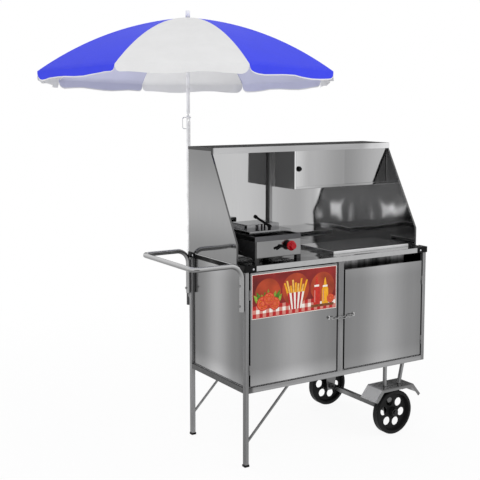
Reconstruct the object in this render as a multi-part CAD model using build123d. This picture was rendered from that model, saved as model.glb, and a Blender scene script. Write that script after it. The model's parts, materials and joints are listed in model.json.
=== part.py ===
"""Hot dog cart: welded tube frame, two-door cabinet, hood, griddle, food warmer, wheels and umbrella.

Millimetres. While it is built, the cart stands with its front left corner on the Z axis:
+X runs to the right along the front, +Y to the rear and +Z up from the ground.
"""
from build123d import *
from math import asin, atan2, cos, degrees, hypot, pi, radians, sin, sqrt, tan
import os

# Cabinet and frame
CABINET_WIDTH = 1056.0
CABINET_DEPTH = 500.0
COUNTER_HEIGHT = 900.0
FRAME_TUBE = 20.0
TUBE_WALL = 1.5
LOWER_RAIL_HEIGHT = 24.0
LOWER_RAIL_BOTTOM = 333.0
CENTRE_POST_WIDTH = 32.0
SHEET = 1.5
WORKTOP_SKIRT = 24.0
FLOOR_BEARING = 10.0
FOOT_HEIGHT = 9.0
FOOT_WALL = 2.0
BRACE_WIDTH = 10.0
BRACE_LEG_HEIGHT = 107.0
BRACE_RUN = 222.0

# Corner caps
CAP_REACH = 58.0
CAP_WALL = 3.0
CAP_OVERHANG = 1.0

# Doors
DOOR_GAP = 7.6
DOOR_BOTTOM_GAP = 5.0
DOOR_DEPTH = 16.0
LEFT_DOOR_TOP_GAP = 5.0
VENT_SLOT_HEIGHT = 41.0
HINGE_RADIUS = 3.5
HINGE_PIN_RADIUS = 2.0
HINGE_KNUCKLE = 22.0
HINGE_PROUD = 1.0
HINGE_END_DISTANCE = 75.0
RUNNING_FIT = 0.05

# Chain latch
CHAIN_HEIGHT = 622.0
LINK_LENGTH = 24.0
LINK_WIDTH = 14.0
LINK_WIRE_RADIUS = 1.6
LINKS_PER_SIDE = 4
LINK_SLACK = 0.3
CHAIN_SAG = 9.0
LINK_BOW_STEPS = 3
WIRE_SIDES = 6
LATCH_SPLIT = 1.5

# Hood
HOOD_FRONT_INSET = 72.0
HOOD_STEP_HEIGHT = 88.0
HOOD_TOP_INSET = 288.0
ROOF_HEIGHT = 1403.0
ROOF_FRONT_FLANGE = 28.0
ROOF_SIDE_FLANGE = 14.0
HOOD_LIP = 9.0

# Overhead cupboard
CUPBOARD_LEFT = 466.0
CUPBOARD_HEIGHT = 183.0
CUPBOARD_LIP = 12.0
CUPBOARD_POST = 18.0
DOOR_TRACK_GAP = 1.0
DOOR_OVERLAP = 12.0
PULL_RADIUS = 13.0
PULL_REACH = 14.0

# Griddle with hinged press
GRIDDLE_LEFT = 100.0
GRIDDLE_FRONT = 76.0
GRIDDLE_WIDTH = 250.0
GRIDDLE_DEPTH = 285.0
GRIDDLE_BODY = 75.0
GRIDDLE_FOOT_HEIGHT = 16.0
GRIDDLE_FOOT_SIZE = 22.0
GRIDDLE_WALL = 2.0
PLATE_THICKNESS = 22.0
PLATE_RECESS = 8.0
PRESS_GAP = 2.0
PRESS_THICKNESS = 14.0
PRESS_INSET = 10.0
PRESS_FRONT_INSET = 62.0
PRESS_BLOCK_HEIGHT = 22.0
PRESS_BLOCK_INSET = 26.0
PRESS_BLOCK_SETBACK = 62.0
PRESS_HANDLE_HEIGHT = 18.0
PRESS_HANDLE_LENGTH = 116.0
PRESS_HANDLE_SETBACK = 10.0
PRESS_HANDLE_RISE = 30.0
PRESS_HANDLE_RADIUS = 6.0
PRESS_PIN_RADIUS = 4.0
KNOB_RADIUS = 23.0
KNOB_DEPTH = 24.0
KNOB_FLUTES = 8
KNOB_TAPER = 8.0
KNOB_FROM_RIGHT = 67.0
VALVE_RADIUS = 20.0
VALVE_DEPTH = 16.0
VALVE_STEM_RADIUS = 4.0
BURNER_RADIUS = 11.0
INLET_LEFT = 46.0
INLET_RADIUS = 7.0
INLET_REACH = 14.0
HOSE_TAIL = 30.0
HOSE_TAIL_DROP = 11.0
HOSE_TAIL_RADIUS = 4.5
HOSE_BARB = 1.5

# Food warmer
WARMER_WIDTH = 435.0
WARMER_LENGTH = 235.0
WARMER_DEPTH = 150.0
WARMER_FROM_RIGHT = 76.0
WARMER_FROM_FRONT = 77.0
WARMER_RIM = 8.0
LID_MARGIN = 15.0
LID_HEIGHT = 14.0
BURNER_DROP = 45.0

# Wheels, axle and guards
WHEEL_RADIUS = 108.0
WHEEL_WIDTH = 40.0
WHEEL_PROUD = 30.0
WHEEL_FROM_RIGHT = 212.0
WHEEL_RIM = 22.0
WHEEL_WEB = 6.0
WHEEL_DRAFT = 6.0
WHEEL_HOLE_RADIUS = 21.0
WHEEL_HOLE_COUNT = 6
WHEEL_HOLE_TURN = 10.0
HUB_RADIUS = 24.0
AXLE_RADIUS = 10.0
AXLE_BAR = 22.0
AXLE_END = 9.0
GUARD_TOP = 194.0
GUARD_DROP = 56.0
GUARD_FLARE = 46.0
GUARD_WIDTH = 115.0
GUARD_FLANGE = 16.0
GUARD_SHEET = 2.0
GUARD_CLEARANCE = 18.0
GUARD_SHIFT = 16.0
HANGER_THICKNESS = 6.0
STRUT_WIDTH = 15.0
STRUT_LEAN = 22.0

# Push handle
HANDLE_RADIUS = 11.0
HANDLE_REACH = 250.0
HANDLE_RISE = 8.0
HANDLE_DROP = 205.0
HANDLE_POST_BEND = 60.0
HANDLE_CORNER_BEND = 34.0
HANDLE_SIDES = 8
BOLT_RADIUS = 3.0
BOLT_HEAD_RADIUS = 6.0
BOLT_HEAD_HEIGHT = 4.0
BOLT_SPACING = 90.0

# Umbrella
POLE_FROM_LEFT = 48.0
POLE_BEHIND = 88.0
POLE_BOTTOM = 623.0
LOWER_POLE_RADIUS = 10.0
UPPER_POLE_RADIUS = 8.5
POLE_WALL = 1.5
TILT_HEIGHT = 1536.0
UMBRELLA_TILT = 2.6
UMBRELLA_HEADING = 31.0
KNUCKLE_RADIUS = 9.0
TONGUE_THICKNESS = 7.0
TONGUE_PLAY = 0.3
TILT_PIN_RADIUS = 2.0
TILT_LOOP_WIDTH = 27.0
TILT_LOOP_HEIGHT = 54.0
SOCKET_CUP = 60.0
SOCKET_WALL = 2.5
SOCKET_PLAY = 0.3
SOCKET_RING_RISE = 170.0
SOCKET_RING_HEIGHT = 20.0
CROWN_RISE = 468.0
RIB_COUNT = 8
RIB_REACH = 720.0
CANOPY_RISE = 272.0
CANOPY_ARCH = 49.0
CANOPY_THICKNESS = 1.0
VALANCE = 43.0
VALANCE_ROUND = 30.0
RIB_RADIUS = 2.5
ROD_SIDES = 6
RIB_PIVOT_RADIUS = 15.0
RIB_CLEARANCE = 1.6
RIB_TIP_INSET = 8.0
EYE_RADIUS = 4.0
EYE_THICKNESS = 2.4
UMBRELLA_PIN_RADIUS = 1.5
STRETCHER_LENGTH = 200.0
STRETCHER_RADIUS = 2.2
LUG_DROP = 8.0
FORK_PLATE = 1.5
FORK_PLAY = 0.3
CROWN_RADIUS = 23.0
FINIAL_HEIGHT = 42.0
RUNNER_HEIGHT = 44.0
RUNNER_RADIUS = 12.0
RUNNER_FLANGE = 21.0
RUNNER_PLAY = 0.4
SLOT_PLAY = 0.5

# Places that several pieces share
POST_TOP = COUNTER_HEIGHT - SHEET
RAIL_TOP = LOWER_RAIL_BOTTOM + LOWER_RAIL_HEIGHT
UPPER_RAIL_BOTTOM = COUNTER_HEIGHT - WORKTOP_SKIRT
CENTRE_X = CABINET_WIDTH / 2
HANDLE_HEIGHT = COUNTER_HEIGHT + HANDLE_RISE
WHEEL_X = CABINET_WIDTH - WHEEL_FROM_RIGHT
GUARD_HEIGHT = 2 * WHEEL_RADIUS + GUARD_CLEARANCE
GUARD_X = WHEEL_X + GUARD_SHIFT
nodes = {}


def block(x0, x1, y0, y1, z0, z1):
    """A box between two corners."""
    return Pos((x0 + x1) / 2, (y0 + y1) / 2, (z0 + z1) / 2) * Box(x1 - x0, y1 - y0, z1 - z0)


def tube_block(x0, x1, y0, y1, z0, z1, along):
    """A square tube between two corners, open along the named axis."""
    inset = {axis: 0 if axis == along else TUBE_WALL for axis in "XYZ"}
    hollow = block(x0 + inset["X"], x1 - inset["X"], y0 + inset["Y"], y1 - inset["Y"],
                   z0 + inset["Z"], z1 - inset["Z"])
    return block(x0, x1, y0, y1, z0, z1) - hollow


def rod(start, end, radius):
    """A round bar between two points."""
    start, end = Vector(*start), Vector(*end)
    plane = Plane(origin=start, z_dir=end - start)
    return extrude(plane * Circle(radius), amount=(end - start).length)


def plate(points, direction, amount):
    """A flat plate: a closed outline of 3-D points, thickened along a direction."""
    outline = make_face(Polyline(*points, close=True))
    return extrude(outline, amount=amount, dir=direction)


def plate_xz(points, y0, y1):
    return plate([(x, y0, z) for x, z in points], (0, 1, 0), y1 - y0)


def plate_yz(points, x0, x1):
    return plate([(x0, y, z) for y, z in points], (1, 0, 0), x1 - x0)


def plate_xy(points, z0, z1):
    return plate([(x, y, z0) for x, y in points], (0, 0, 1), z1 - z0)


def prism(start, end, radius, sides):
    """A straight bar with flats, such as a hexagon head or a drawn rod."""
    start, end = Vector(*start), Vector(*end)
    plane = Plane(origin=start, z_dir=end - start)
    return extrude(plane * RegularPolygon(radius, sides), amount=(end - start).length)


def swept(points, radii, radius, sides):
    """A wire or tube along straight runs joined by arcs, its section drawn with a number of flats."""
    path = FilletPolyline(*points, radius=radii)
    outline = RegularPolygon(radius, sides, major_radius=False, rotation=180 / sides)
    section = Plane(origin=path @ 0, z_dir=path % 0) * outline
    runs = []
    for edge in Wire(path.edges()).order_edges():
        start, end = edge % 0, edge % 1
        if edge.geom_type == GeomType.LINE:
            runs.append(extrude(section, amount=edge.length, dir=start))
            section = section.translate(edge @ 1 - edge @ 0)
        else:
            bend = Axis(edge.arc_center, start.cross(end))
            runs.append(revolve(section, bend, start.get_angle(end)))
            section = section.rotate(bend, start.get_angle(end))
    return runs[0].fuse(*runs[1:])


def mirror_y(shape):
    """The same piece on the other long side of the cart."""
    return mirror(shape, about=Plane.XZ.offset(-CABINET_DEPTH / 2))


# Frame: posts, rails, braces and feet
right = CABINET_WIDTH - FRAME_TUBE
rear = CABINET_DEPTH - FRAME_TUBE
CENTRE_LEFT = CENTRE_X - CENTRE_POST_WIDTH / 2
CENTRE_RIGHT = CENTRE_X + CENTRE_POST_WIDTH / 2
handle_axis_y = FRAME_TUBE / 2
handle_ends = (handle_axis_y, CABINET_DEPTH - handle_axis_y)
bolt_heights = [HANDLE_HEIGHT - HANDLE_DROP + BOLT_HEAD_RADIUS * 4 + step for step in (0, BOLT_SPACING)]
bolt_holes = [rod((-3 * HANDLE_RADIUS, y, z), (FRAME_TUBE / 2, y, z), BOLT_RADIUS)
              for y in handle_ends for z in bolt_heights]
left_legs = [tube_block(0, FRAME_TUBE, y, y + FRAME_TUBE, FOOT_WALL, POST_TOP, "Z") - bolt_holes
             for y in (0, rear)]
right_posts = [tube_block(right, CABINET_WIDTH, y, y + FRAME_TUBE, LOWER_RAIL_BOTTOM, POST_TOP, "Z")
               for y in (0, rear)]
centre_post = tube_block(CENTRE_LEFT, CENTRE_RIGHT, 0, FRAME_TUBE, RAIL_TOP, UPPER_RAIL_BOTTOM, "Z")
HOOD_REAR = CABINET_DEPTH - SHEET
cupboard_post = tube_block(CUPBOARD_LEFT - CUPBOARD_POST, CUPBOARD_LEFT,
                           HOOD_REAR - CUPBOARD_POST, HOOD_REAR, COUNTER_HEIGHT, ROOF_HEIGHT - SHEET, "Z")
nodes["frame_posts"] = left_legs + right_posts + [centre_post, cupboard_post]

rails = []
for low, high in ((LOWER_RAIL_BOTTOM, RAIL_TOP), (UPPER_RAIL_BOTTOM, POST_TOP)):
    rails += [tube_block(FRAME_TUBE, right, y, y + FRAME_TUBE, low, high, "X") for y in (0, rear)]
    rails += [tube_block(x, x + FRAME_TUBE, FRAME_TUBE, rear, low, high, "Y") for x in (0, right)]
nodes["frame_rails"] = rails

brace_slope = (LOWER_RAIL_BOTTOM - BRACE_LEG_HEIGHT) / BRACE_RUN
brace_rise = BRACE_WIDTH * hypot(1, brace_slope)
brace_outline = [(FRAME_TUBE, BRACE_LEG_HEIGHT), (FRAME_TUBE + BRACE_RUN, LOWER_RAIL_BOTTOM),
                 (FRAME_TUBE + BRACE_RUN - brace_rise / brace_slope, LOWER_RAIL_BOTTOM),
                 (FRAME_TUBE, BRACE_LEG_HEIGHT + brace_rise)]
brace_y = (FRAME_TUBE - BRACE_WIDTH) / 2
front_brace = plate_xz(brace_outline, brace_y, brace_y + BRACE_WIDTH)
nodes["leg_braces"] = [front_brace, mirror_y(front_brace)]


def foot(y):
    """A plastic cap over the end of a leg, with a plug up inside the tube."""
    cup = block(-FOOT_WALL, FRAME_TUBE + FOOT_WALL, y - FOOT_WALL, y + FRAME_TUBE + FOOT_WALL,
                0, FOOT_HEIGHT)
    socket = block(0, FRAME_TUBE, y, y + FRAME_TUBE, FOOT_WALL, FOOT_HEIGHT)
    return fillet((cup - socket).edges().filter_by(Axis.Z).group_by(Edge.length)[-1], FOOT_WALL / 2)


nodes["leg_feet"] = [foot(0), foot(rear)]

# Cabinet floor, side panels and back
notch = FRAME_TUBE - FLOOR_BEARING
floor_sheet = block(FLOOR_BEARING, CABINET_WIDTH - FLOOR_BEARING, FLOOR_BEARING,
                    CABINET_DEPTH - FLOOR_BEARING, RAIL_TOP, RAIL_TOP + SHEET)
for x in (FLOOR_BEARING, right):
    for y in (FLOOR_BEARING, rear):
        floor_sheet -= block(x, x + notch, y, y + notch, RAIL_TOP, RAIL_TOP + SHEET)
nodes["cabinet_floor"] = floor_sheet - block(CENTRE_LEFT, CENTRE_RIGHT, FLOOR_BEARING, FRAME_TUBE,
                                             RAIL_TOP, RAIL_TOP + SHEET)
panel_bottom = RAIL_TOP + SHEET
side_panels = [block(x, x + SHEET, FRAME_TUBE, rear, panel_bottom, UPPER_RAIL_BOTTOM)
               for x in (FLOOR_BEARING, CABINET_WIDTH - FLOOR_BEARING - SHEET)]
back_y = CABINET_DEPTH - FLOOR_BEARING - SHEET
cabinet_back = block(FRAME_TUBE, right, back_y, back_y + SHEET, panel_bottom, UPPER_RAIL_BOTTOM)
nodes["cabinet_panels"] = side_panels + [cabinet_back]

# Worktop: a folded tray with a skirt, cut out for the warmer
warmer_right = CABINET_WIDTH - WARMER_FROM_RIGHT
warmer_left = warmer_right - WARMER_WIDTH
warmer_rear = WARMER_FROM_FRONT + WARMER_LENGTH
worktop = block(-SHEET, CABINET_WIDTH + SHEET, -SHEET, CABINET_DEPTH + SHEET,
                UPPER_RAIL_BOTTOM, COUNTER_HEIGHT)
worktop -= block(0, CABINET_WIDTH, 0, CABINET_DEPTH, UPPER_RAIL_BOTTOM, POST_TOP)
nodes["worktop"] = worktop - block(warmer_left, warmer_right, WARMER_FROM_FRONT, warmer_rear,
                                   POST_TOP, COUNTER_HEIGHT)


def corner_cap(has_top):
    """A plastic cap round the front left corner of the skirt, with a corner plate on top at the front."""
    outside = -SHEET - CAP_WALL
    low = UPPER_RAIL_BOTTOM - CAP_OVERHANG
    high = COUNTER_HEIGHT + (CAP_WALL if has_top else 0)
    reach = CAP_REACH - SHEET
    cap = plate_xy([(outside, outside), (reach, outside), (reach, -SHEET), (-SHEET, -SHEET),
                    (-SHEET, reach), (outside, reach)], low, high)
    if has_top:
        cap += plate_xy([(outside, outside), (reach, outside), (outside, reach)], COUNTER_HEIGHT, high)
    upright = cap.edges().filter_by(Axis.Z).sort_by(Axis.X)
    corner = [edge for edge in upright if edge.center().X + edge.center().Y < 2 * outside + CAP_WALL]
    return fillet(corner, CAP_WALL)


def mirror_x(shape):
    """The same piece at the other end of the cart."""
    return mirror(shape, about=Plane.YZ.offset(CABINET_WIDTH / 2))


front_cap, rear_cap = corner_cap(True), mirror_y(corner_cap(False))
nodes["corner_caps"] = [front_cap, mirror_x(front_cap), rear_cap, mirror_x(rear_cap)]

# Doors: folded pans on weld-on barrel hinges
DOOR_BOTTOM = RAIL_TOP + SHEET + DOOR_BOTTOM_GAP
left_door_left = FRAME_TUBE + DOOR_GAP
left_door_right = CENTRE_LEFT - DOOR_GAP
left_door_top = UPPER_RAIL_BOTTOM - LEFT_DOOR_TOP_GAP
right_door_top = UPPER_RAIL_BOTTOM - VENT_SLOT_HEIGHT
HINGE_X = FRAME_TUBE + HINGE_RADIUS + (DOOR_GAP - 2 * HINGE_RADIUS) / 2
HINGE_Y = -HINGE_PROUD


def door_pan(top):
    """A sheet door with folded edges, hinged on its left."""
    pan = block(left_door_left, left_door_right, 0, DOOR_DEPTH, DOOR_BOTTOM, top)
    pan -= block(left_door_left + SHEET, left_door_right - SHEET, SHEET, DOOR_DEPTH,
                 DOOR_BOTTOM + SHEET, top - SHEET)
    for z in hinge_heights(top):
        sleeve = rod((HINGE_X, HINGE_Y, z), (HINGE_X, HINGE_Y, z + HINGE_KNUCKLE), HINGE_RADIUS)
        tab = block(HINGE_X, left_door_left + SHEET, HINGE_Y, HINGE_Y + HINGE_RADIUS, z, z + HINGE_KNUCKLE)
        bore = rod((HINGE_X, HINGE_Y, z), (HINGE_X, HINGE_Y, z + HINGE_KNUCKLE),
                   HINGE_PIN_RADIUS + RUNNING_FIT)
        pan += sleeve + tab
        pan -= bore
    return pan


def hinge_heights(top):
    """Where each door sleeve starts: one near the bottom and one near the top of the door."""
    return (DOOR_BOTTOM + HINGE_END_DISTANCE, top - HINGE_END_DISTANCE - HINGE_KNUCKLE)


def hinge_pins(top):
    """The frame's half of each hinge: a barrel with a pin, welded to the post by a tab."""
    pins = []
    for z in hinge_heights(top):
        seat = z - RUNNING_FIT
        barrel = rod((HINGE_X, HINGE_Y, seat - HINGE_KNUCKLE), (HINGE_X, HINGE_Y, seat), HINGE_RADIUS)
        tab = block(FRAME_TUBE, HINGE_X, HINGE_Y, HINGE_Y + HINGE_RADIUS, seat - HINGE_KNUCKLE, seat)
        pin = rod((HINGE_X, HINGE_Y, seat), (HINGE_X, HINGE_Y, z + HINGE_KNUCKLE), HINGE_PIN_RADIUS)
        pins.append(barrel + tab + pin)
    return pins


nodes["left_door"] = door_pan(left_door_top)
nodes["right_door"] = mirror_x(door_pan(right_door_top))
nodes["hinge_pins"] = hinge_pins(left_door_top) + [mirror_x(pin) for pin in hinge_pins(right_door_top)]

# Chain latch: a staple and half of the chain on each door, parted over the centre post
chain_y = -LINK_WIDTH / 2 - LINK_WIRE_RADIUS
link_pitch = LINK_LENGTH - 4 * LINK_WIRE_RADIUS - LINK_SLACK
half_span = LATCH_SPLIT + LINK_LENGTH + (LINKS_PER_SIDE - 1) * link_pitch


def chain_slope(x):
    """How steeply the sagging chain runs at a place along the doors."""
    return 2 * CHAIN_SAG * (x - CENTRE_X) / half_span ** 2


def chain_height(x):
    return CHAIN_HEIGHT - CHAIN_SAG * (1 - ((x - CENTRE_X) / half_span) ** 2)


def oval(bow):
    """A long oval round a link, each bow drawn with a few chords."""
    straight = (LINK_LENGTH - LINK_WIDTH) / 2
    turns = [radians(180 * step / LINK_BOW_STEPS - 90) for step in range(LINK_BOW_STEPS + 1)]
    ahead = [(straight + bow * cos(turn), bow * sin(turn)) for turn in turns]
    return ahead + [(-x, -y) for x, y in ahead]


def chain_link(x, turned):
    """An oval link of eight-sided wire along the chain; every second link is turned on its side."""
    ring = plate_xy(oval(LINK_WIDTH / 2), -LINK_WIRE_RADIUS, LINK_WIRE_RADIUS)
    ring -= plate_xy(oval(LINK_WIDTH / 2 - 2 * LINK_WIRE_RADIUS), -LINK_WIRE_RADIUS, LINK_WIRE_RADIUS)
    rims = ring.faces().filter_by(Axis.Z).edges()
    ring = chamfer(rims, LINK_WIRE_RADIUS * (2 - sqrt(2)))
    lean = Rot(0, -degrees(atan2(chain_slope(x), 1)), 0) * Rot(90 if turned else 0, 0, 0)
    return Pos(x, chain_y, chain_height(x)) * lean * ring


half_chain = []
link_x = CENTRE_X - LATCH_SPLIT - LINK_LENGTH / 2
for step in range(LINKS_PER_SIDE):
    half_chain.append(chain_link(link_x, (LINKS_PER_SIDE - step) % 2 == 0))
    last_x = link_x
    link_x -= link_pitch * cos(atan2(chain_slope(link_x), 1))
staple_x = last_x - LINK_LENGTH / 2 + 3 * LINK_WIRE_RADIUS + LINK_SLACK
staple_z = chain_height(staple_x)
staple_half = LINK_WIDTH / 2
staple = swept([(staple_x, 0, staple_z + staple_half), (staple_x, chain_y, staple_z + staple_half),
                (staple_x, chain_y, staple_z - staple_half), (staple_x, 0, staple_z - staple_half)],
               2 * LINK_WIRE_RADIUS, LINK_WIRE_RADIUS, WIRE_SIDES)
nodes["left_chain"] = half_chain + [staple]
nodes["right_chain"] = [mirror_x(link) for link in nodes["left_chain"]]

# Hood: side panels, mirror back and a folded roof
ROOF_UNDER = ROOF_HEIGHT - SHEET
hood_step = COUNTER_HEIGHT + HOOD_STEP_HEIGHT
side_outline = [(HOOD_FRONT_INSET, COUNTER_HEIGHT), (HOOD_FRONT_INSET, hood_step),
                (HOOD_TOP_INSET, ROOF_HEIGHT - ROOF_FRONT_FLANGE), (HOOD_TOP_INSET, ROOF_UNDER),
                (CABINET_DEPTH, ROOF_UNDER), (CABINET_DEPTH, COUNTER_HEIGHT)]
slant = atan2(HOOD_TOP_INSET - HOOD_FRONT_INSET, ROOF_HEIGHT - ROOF_FRONT_FLANGE - hood_step)
lip_shift = SHEET / cos(slant)
lip_outline = [(HOOD_FRONT_INSET, COUNTER_HEIGHT), (HOOD_FRONT_INSET, hood_step),
               (HOOD_TOP_INSET, ROOF_HEIGHT - ROOF_FRONT_FLANGE),
               (HOOD_TOP_INSET + lip_shift, ROOF_HEIGHT - ROOF_FRONT_FLANGE),
               (HOOD_FRONT_INSET + lip_shift, hood_step), (HOOD_FRONT_INSET + lip_shift, COUNTER_HEIGHT)]
left_side = plate_yz(side_outline, 0, SHEET) + plate_yz(lip_outline, 0, HOOD_LIP)
nodes["hood_side_panels"] = [left_side, mirror_x(left_side)]
nodes["hood_back"] = block(SHEET, CABINET_WIDTH - SHEET, HOOD_REAR, CABINET_DEPTH,
                           COUNTER_HEIGHT, ROOF_UNDER)
roof_front = HOOD_TOP_INSET - SHEET
roof = block(-SHEET, CABINET_WIDTH + SHEET, roof_front, CABINET_DEPTH + SHEET,
             ROOF_HEIGHT - ROOF_FRONT_FLANGE, ROOF_HEIGHT)
roof -= block(0, CABINET_WIDTH, HOOD_TOP_INSET, CABINET_DEPTH, ROOF_HEIGHT - ROOF_FRONT_FLANGE, ROOF_UNDER)
nodes["hood_roof"] = roof - block(-SHEET, CABINET_WIDTH + SHEET, HOOD_TOP_INSET, CABINET_DEPTH + SHEET,
                                  ROOF_HEIGHT - ROOF_FRONT_FLANGE, ROOF_HEIGHT - ROOF_SIDE_FLANGE)

# Overhead cupboard: shell with a lipped front, a fixed panel and a sliding door
cup_right = CABINET_WIDTH - SHEET
cup_front = HOOD_TOP_INSET + lip_shift + DOOR_TRACK_GAP
cup_top = ROOF_UNDER
cup_bottom = cup_top - CUPBOARD_HEIGHT - ROOF_FRONT_FLANGE
track = 2 * SHEET + 3 * DOOR_TRACK_GAP
shell = block(CUPBOARD_LEFT, cup_right, cup_front, HOOD_REAR, cup_bottom, cup_top)
shell -= block(CUPBOARD_LEFT + SHEET, cup_right - SHEET, cup_front + SHEET, HOOD_REAR - SHEET,
               cup_bottom + SHEET, cup_top - SHEET)
window_left = CUPBOARD_LEFT + CUPBOARD_LIP
window_right = cup_right - CUPBOARD_LIP
window_bottom = cup_bottom + CUPBOARD_LIP
window_top = ROOF_HEIGHT - ROOF_FRONT_FLANGE
shell -= block(window_left, window_right, cup_front, cup_front + SHEET, window_bottom, window_top)
guide_y = cup_front + SHEET + track
guides = [block(CUPBOARD_LEFT + SHEET, cup_right - SHEET, guide_y, guide_y + SHEET, low, high)
          for low, high in ((cup_bottom + SHEET, window_bottom), (window_top, cup_top - SHEET))]
window_middle = (window_left + window_right) / 2
fixed_y = cup_front + SHEET + 2 * DOOR_TRACK_GAP + SHEET
fixed_panel = block(window_middle - DOOR_OVERLAP, cup_right - SHEET, fixed_y, fixed_y + SHEET,
                    cup_bottom + SHEET, cup_top - SHEET)
nodes["overhead_cupboard"] = [shell + guides[0] + guides[1], fixed_panel]
slider_y = cup_front + SHEET + DOOR_TRACK_GAP
slider_low = cup_bottom + SHEET + RUNNING_FIT
slider = block(CUPBOARD_LEFT + SHEET + DOOR_TRACK_GAP, window_middle + DOOR_OVERLAP,
               slider_y, slider_y + SHEET, slider_low, cup_top - SHEET - DOOR_TRACK_GAP)
pull_x = window_left + PULL_RADIUS + DOOR_TRACK_GAP
pull_z = (window_bottom + window_top) / 2
pull_hole = rod((pull_x, slider_y, pull_z), (pull_x, slider_y + SHEET, pull_z), VALVE_STEM_RADIUS)
nodes["overhead_door"] = slider - pull_hole
pull = rod((pull_x, slider_y - PULL_REACH / 3, pull_z), (pull_x, slider_y, pull_z), PULL_RADIUS)
pull += rod((pull_x, slider_y - PULL_REACH, pull_z), (pull_x, slider_y, pull_z), PULL_RADIUS * 0.7)
nodes["door_pull"] = pull + pull_hole

# Griddle: housing on feet, steel front, iron plate, hinged press, valve and burner
g_right = GRIDDLE_LEFT + GRIDDLE_WIDTH
g_rear = GRIDDLE_FRONT + GRIDDLE_DEPTH
g_low = COUNTER_HEIGHT + GRIDDLE_FOOT_HEIGHT
g_top = g_low + GRIDDLE_BODY
housing = block(GRIDDLE_LEFT, g_right, GRIDDLE_FRONT, g_rear, g_low, g_top)
housing -= block(GRIDDLE_LEFT + GRIDDLE_WALL, g_right - GRIDDLE_WALL, GRIDDLE_FRONT + GRIDDLE_WALL,
                 g_rear - GRIDDLE_WALL, g_low + GRIDDLE_WALL, g_top)
for x in (GRIDDLE_LEFT, g_right - GRIDDLE_FOOT_SIZE):
    for y in (GRIDDLE_FRONT, g_rear - GRIDDLE_FOOT_SIZE):
        housing += block(x, x + GRIDDLE_FOOT_SIZE, y, y + GRIDDLE_FOOT_SIZE, COUNTER_HEIGHT, g_low)
knob_x = g_right - KNOB_FROM_RIGHT
knob_z = g_low + GRIDDLE_BODY * 0.64
front_skin_y = GRIDDLE_FRONT - SHEET
wall_y = GRIDDLE_FRONT + GRIDDLE_WALL
inlet_x = knob_x - INLET_LEFT
valve_bores = rod((knob_x, front_skin_y, knob_z), (knob_x, wall_y, knob_z), BURNER_RADIUS)
valve_bores += rod((inlet_x, front_skin_y, knob_z), (inlet_x, wall_y, knob_z), INLET_RADIUS)
plate_low, plate_high = g_top, g_top + PLATE_THICKNESS
press_low = plate_high + PRESS_GAP
pin_y = g_rear + PRESS_PIN_RADIUS * 3
pin_z = press_low + PRESS_THICKNESS / 2
ear_width = 4 * PRESS_PIN_RADIUS
ear_places = (GRIDDLE_LEFT + PRESS_INSET, g_right - PRESS_INSET - ear_width)
for x in ear_places:
    ear = plate_yz([(g_rear, g_low), (g_rear + SHEET * 2, g_low), (pin_y + 2 * PRESS_PIN_RADIUS, pin_z),
                    (pin_y - 2 * PRESS_PIN_RADIUS, pin_z),
                    (pin_y - 2 * PRESS_PIN_RADIUS, plate_high + PRESS_GAP / 2),
                    (g_rear, plate_high)], x, x + ear_width)
    housing += ear + rod((x, pin_y, pin_z), (x + ear_width, pin_y, pin_z), 2 * PRESS_PIN_RADIUS)
housing += rod((ear_places[0], pin_y, pin_z), (ear_places[1] + ear_width, pin_y, pin_z), PRESS_PIN_RADIUS)
nodes["griddle_body"] = housing - valve_bores
nodes["griddle_front"] = block(GRIDDLE_LEFT + GRIDDLE_WALL * 4, g_right - GRIDDLE_WALL, front_skin_y,
                               GRIDDLE_FRONT, g_low + GRIDDLE_WALL, g_top) - valve_bores
iron = block(GRIDDLE_LEFT, g_right, GRIDDLE_FRONT, g_rear, plate_low, plate_high)
iron -= block(GRIDDLE_LEFT + PLATE_RECESS, g_right - PLATE_RECESS, GRIDDLE_FRONT + PLATE_RECESS,
              g_rear - PLATE_RECESS, plate_high - PLATE_RECESS, plate_high)
nodes["griddle_plate"] = iron
press_left, press_right = GRIDDLE_LEFT + PRESS_INSET, g_right - PRESS_INSET
press_front = GRIDDLE_FRONT + PRESS_FRONT_INSET
press_high = press_low + PRESS_THICKNESS
press_back = pin_y - 2 * PRESS_PIN_RADIUS - PRESS_GAP
press = block(press_left, press_right, press_front, press_back, press_low, press_high)
press -= block(press_left + SHEET, press_right - SHEET, press_front + SHEET, press_back - SHEET,
               press_low, press_high - SHEET)
press += block(press_left + PRESS_BLOCK_INSET, press_right - PRESS_BLOCK_INSET,
               press_front + PRESS_BLOCK_SETBACK, press_back - PRESS_BLOCK_INSET,
               press_high, press_high + PRESS_BLOCK_HEIGHT)
arm_left = ear_places[0] + ear_width + PRESS_GAP
arm_right = ear_places[1] - PRESS_GAP
press += block(arm_left, arm_right, press_back, pin_y, press_high - 3 * SHEET, press_high)
press += rod((arm_left, pin_y, pin_z), (arm_right, pin_y, pin_z), 2 * PRESS_PIN_RADIUS)
press -= rod((arm_left, pin_y, pin_z), (arm_right, pin_y, pin_z), PRESS_PIN_RADIUS + RUNNING_FIT)
nodes["press_lid"] = press
handle_x = (press_left + press_right) / 2
grip_front = Vector(handle_x, press_front + PRESS_HANDLE_SETBACK, press_high + PRESS_HANDLE_HEIGHT)
grip_rear = grip_front + Vector(0, PRESS_HANDLE_LENGTH, PRESS_HANDLE_RISE)
grip_along = (grip_rear - grip_front).normalized()
grip = prism(grip_front, grip_rear, PRESS_HANDLE_RADIUS, HANDLE_SIDES)
for end, inward in ((grip_front, grip_along), (grip_rear, -grip_along)):
    grip += prism(end - inward * PRESS_HANDLE_RADIUS, end + inward * PRESS_HANDLE_RADIUS,
                  PRESS_HANDLE_RADIUS * 1.5, HANDLE_SIDES)
stem_share = (PRESS_BLOCK_SETBACK - PRESS_HANDLE_SETBACK - 2 * PRESS_HANDLE_RADIUS) / PRESS_HANDLE_LENGTH
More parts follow.
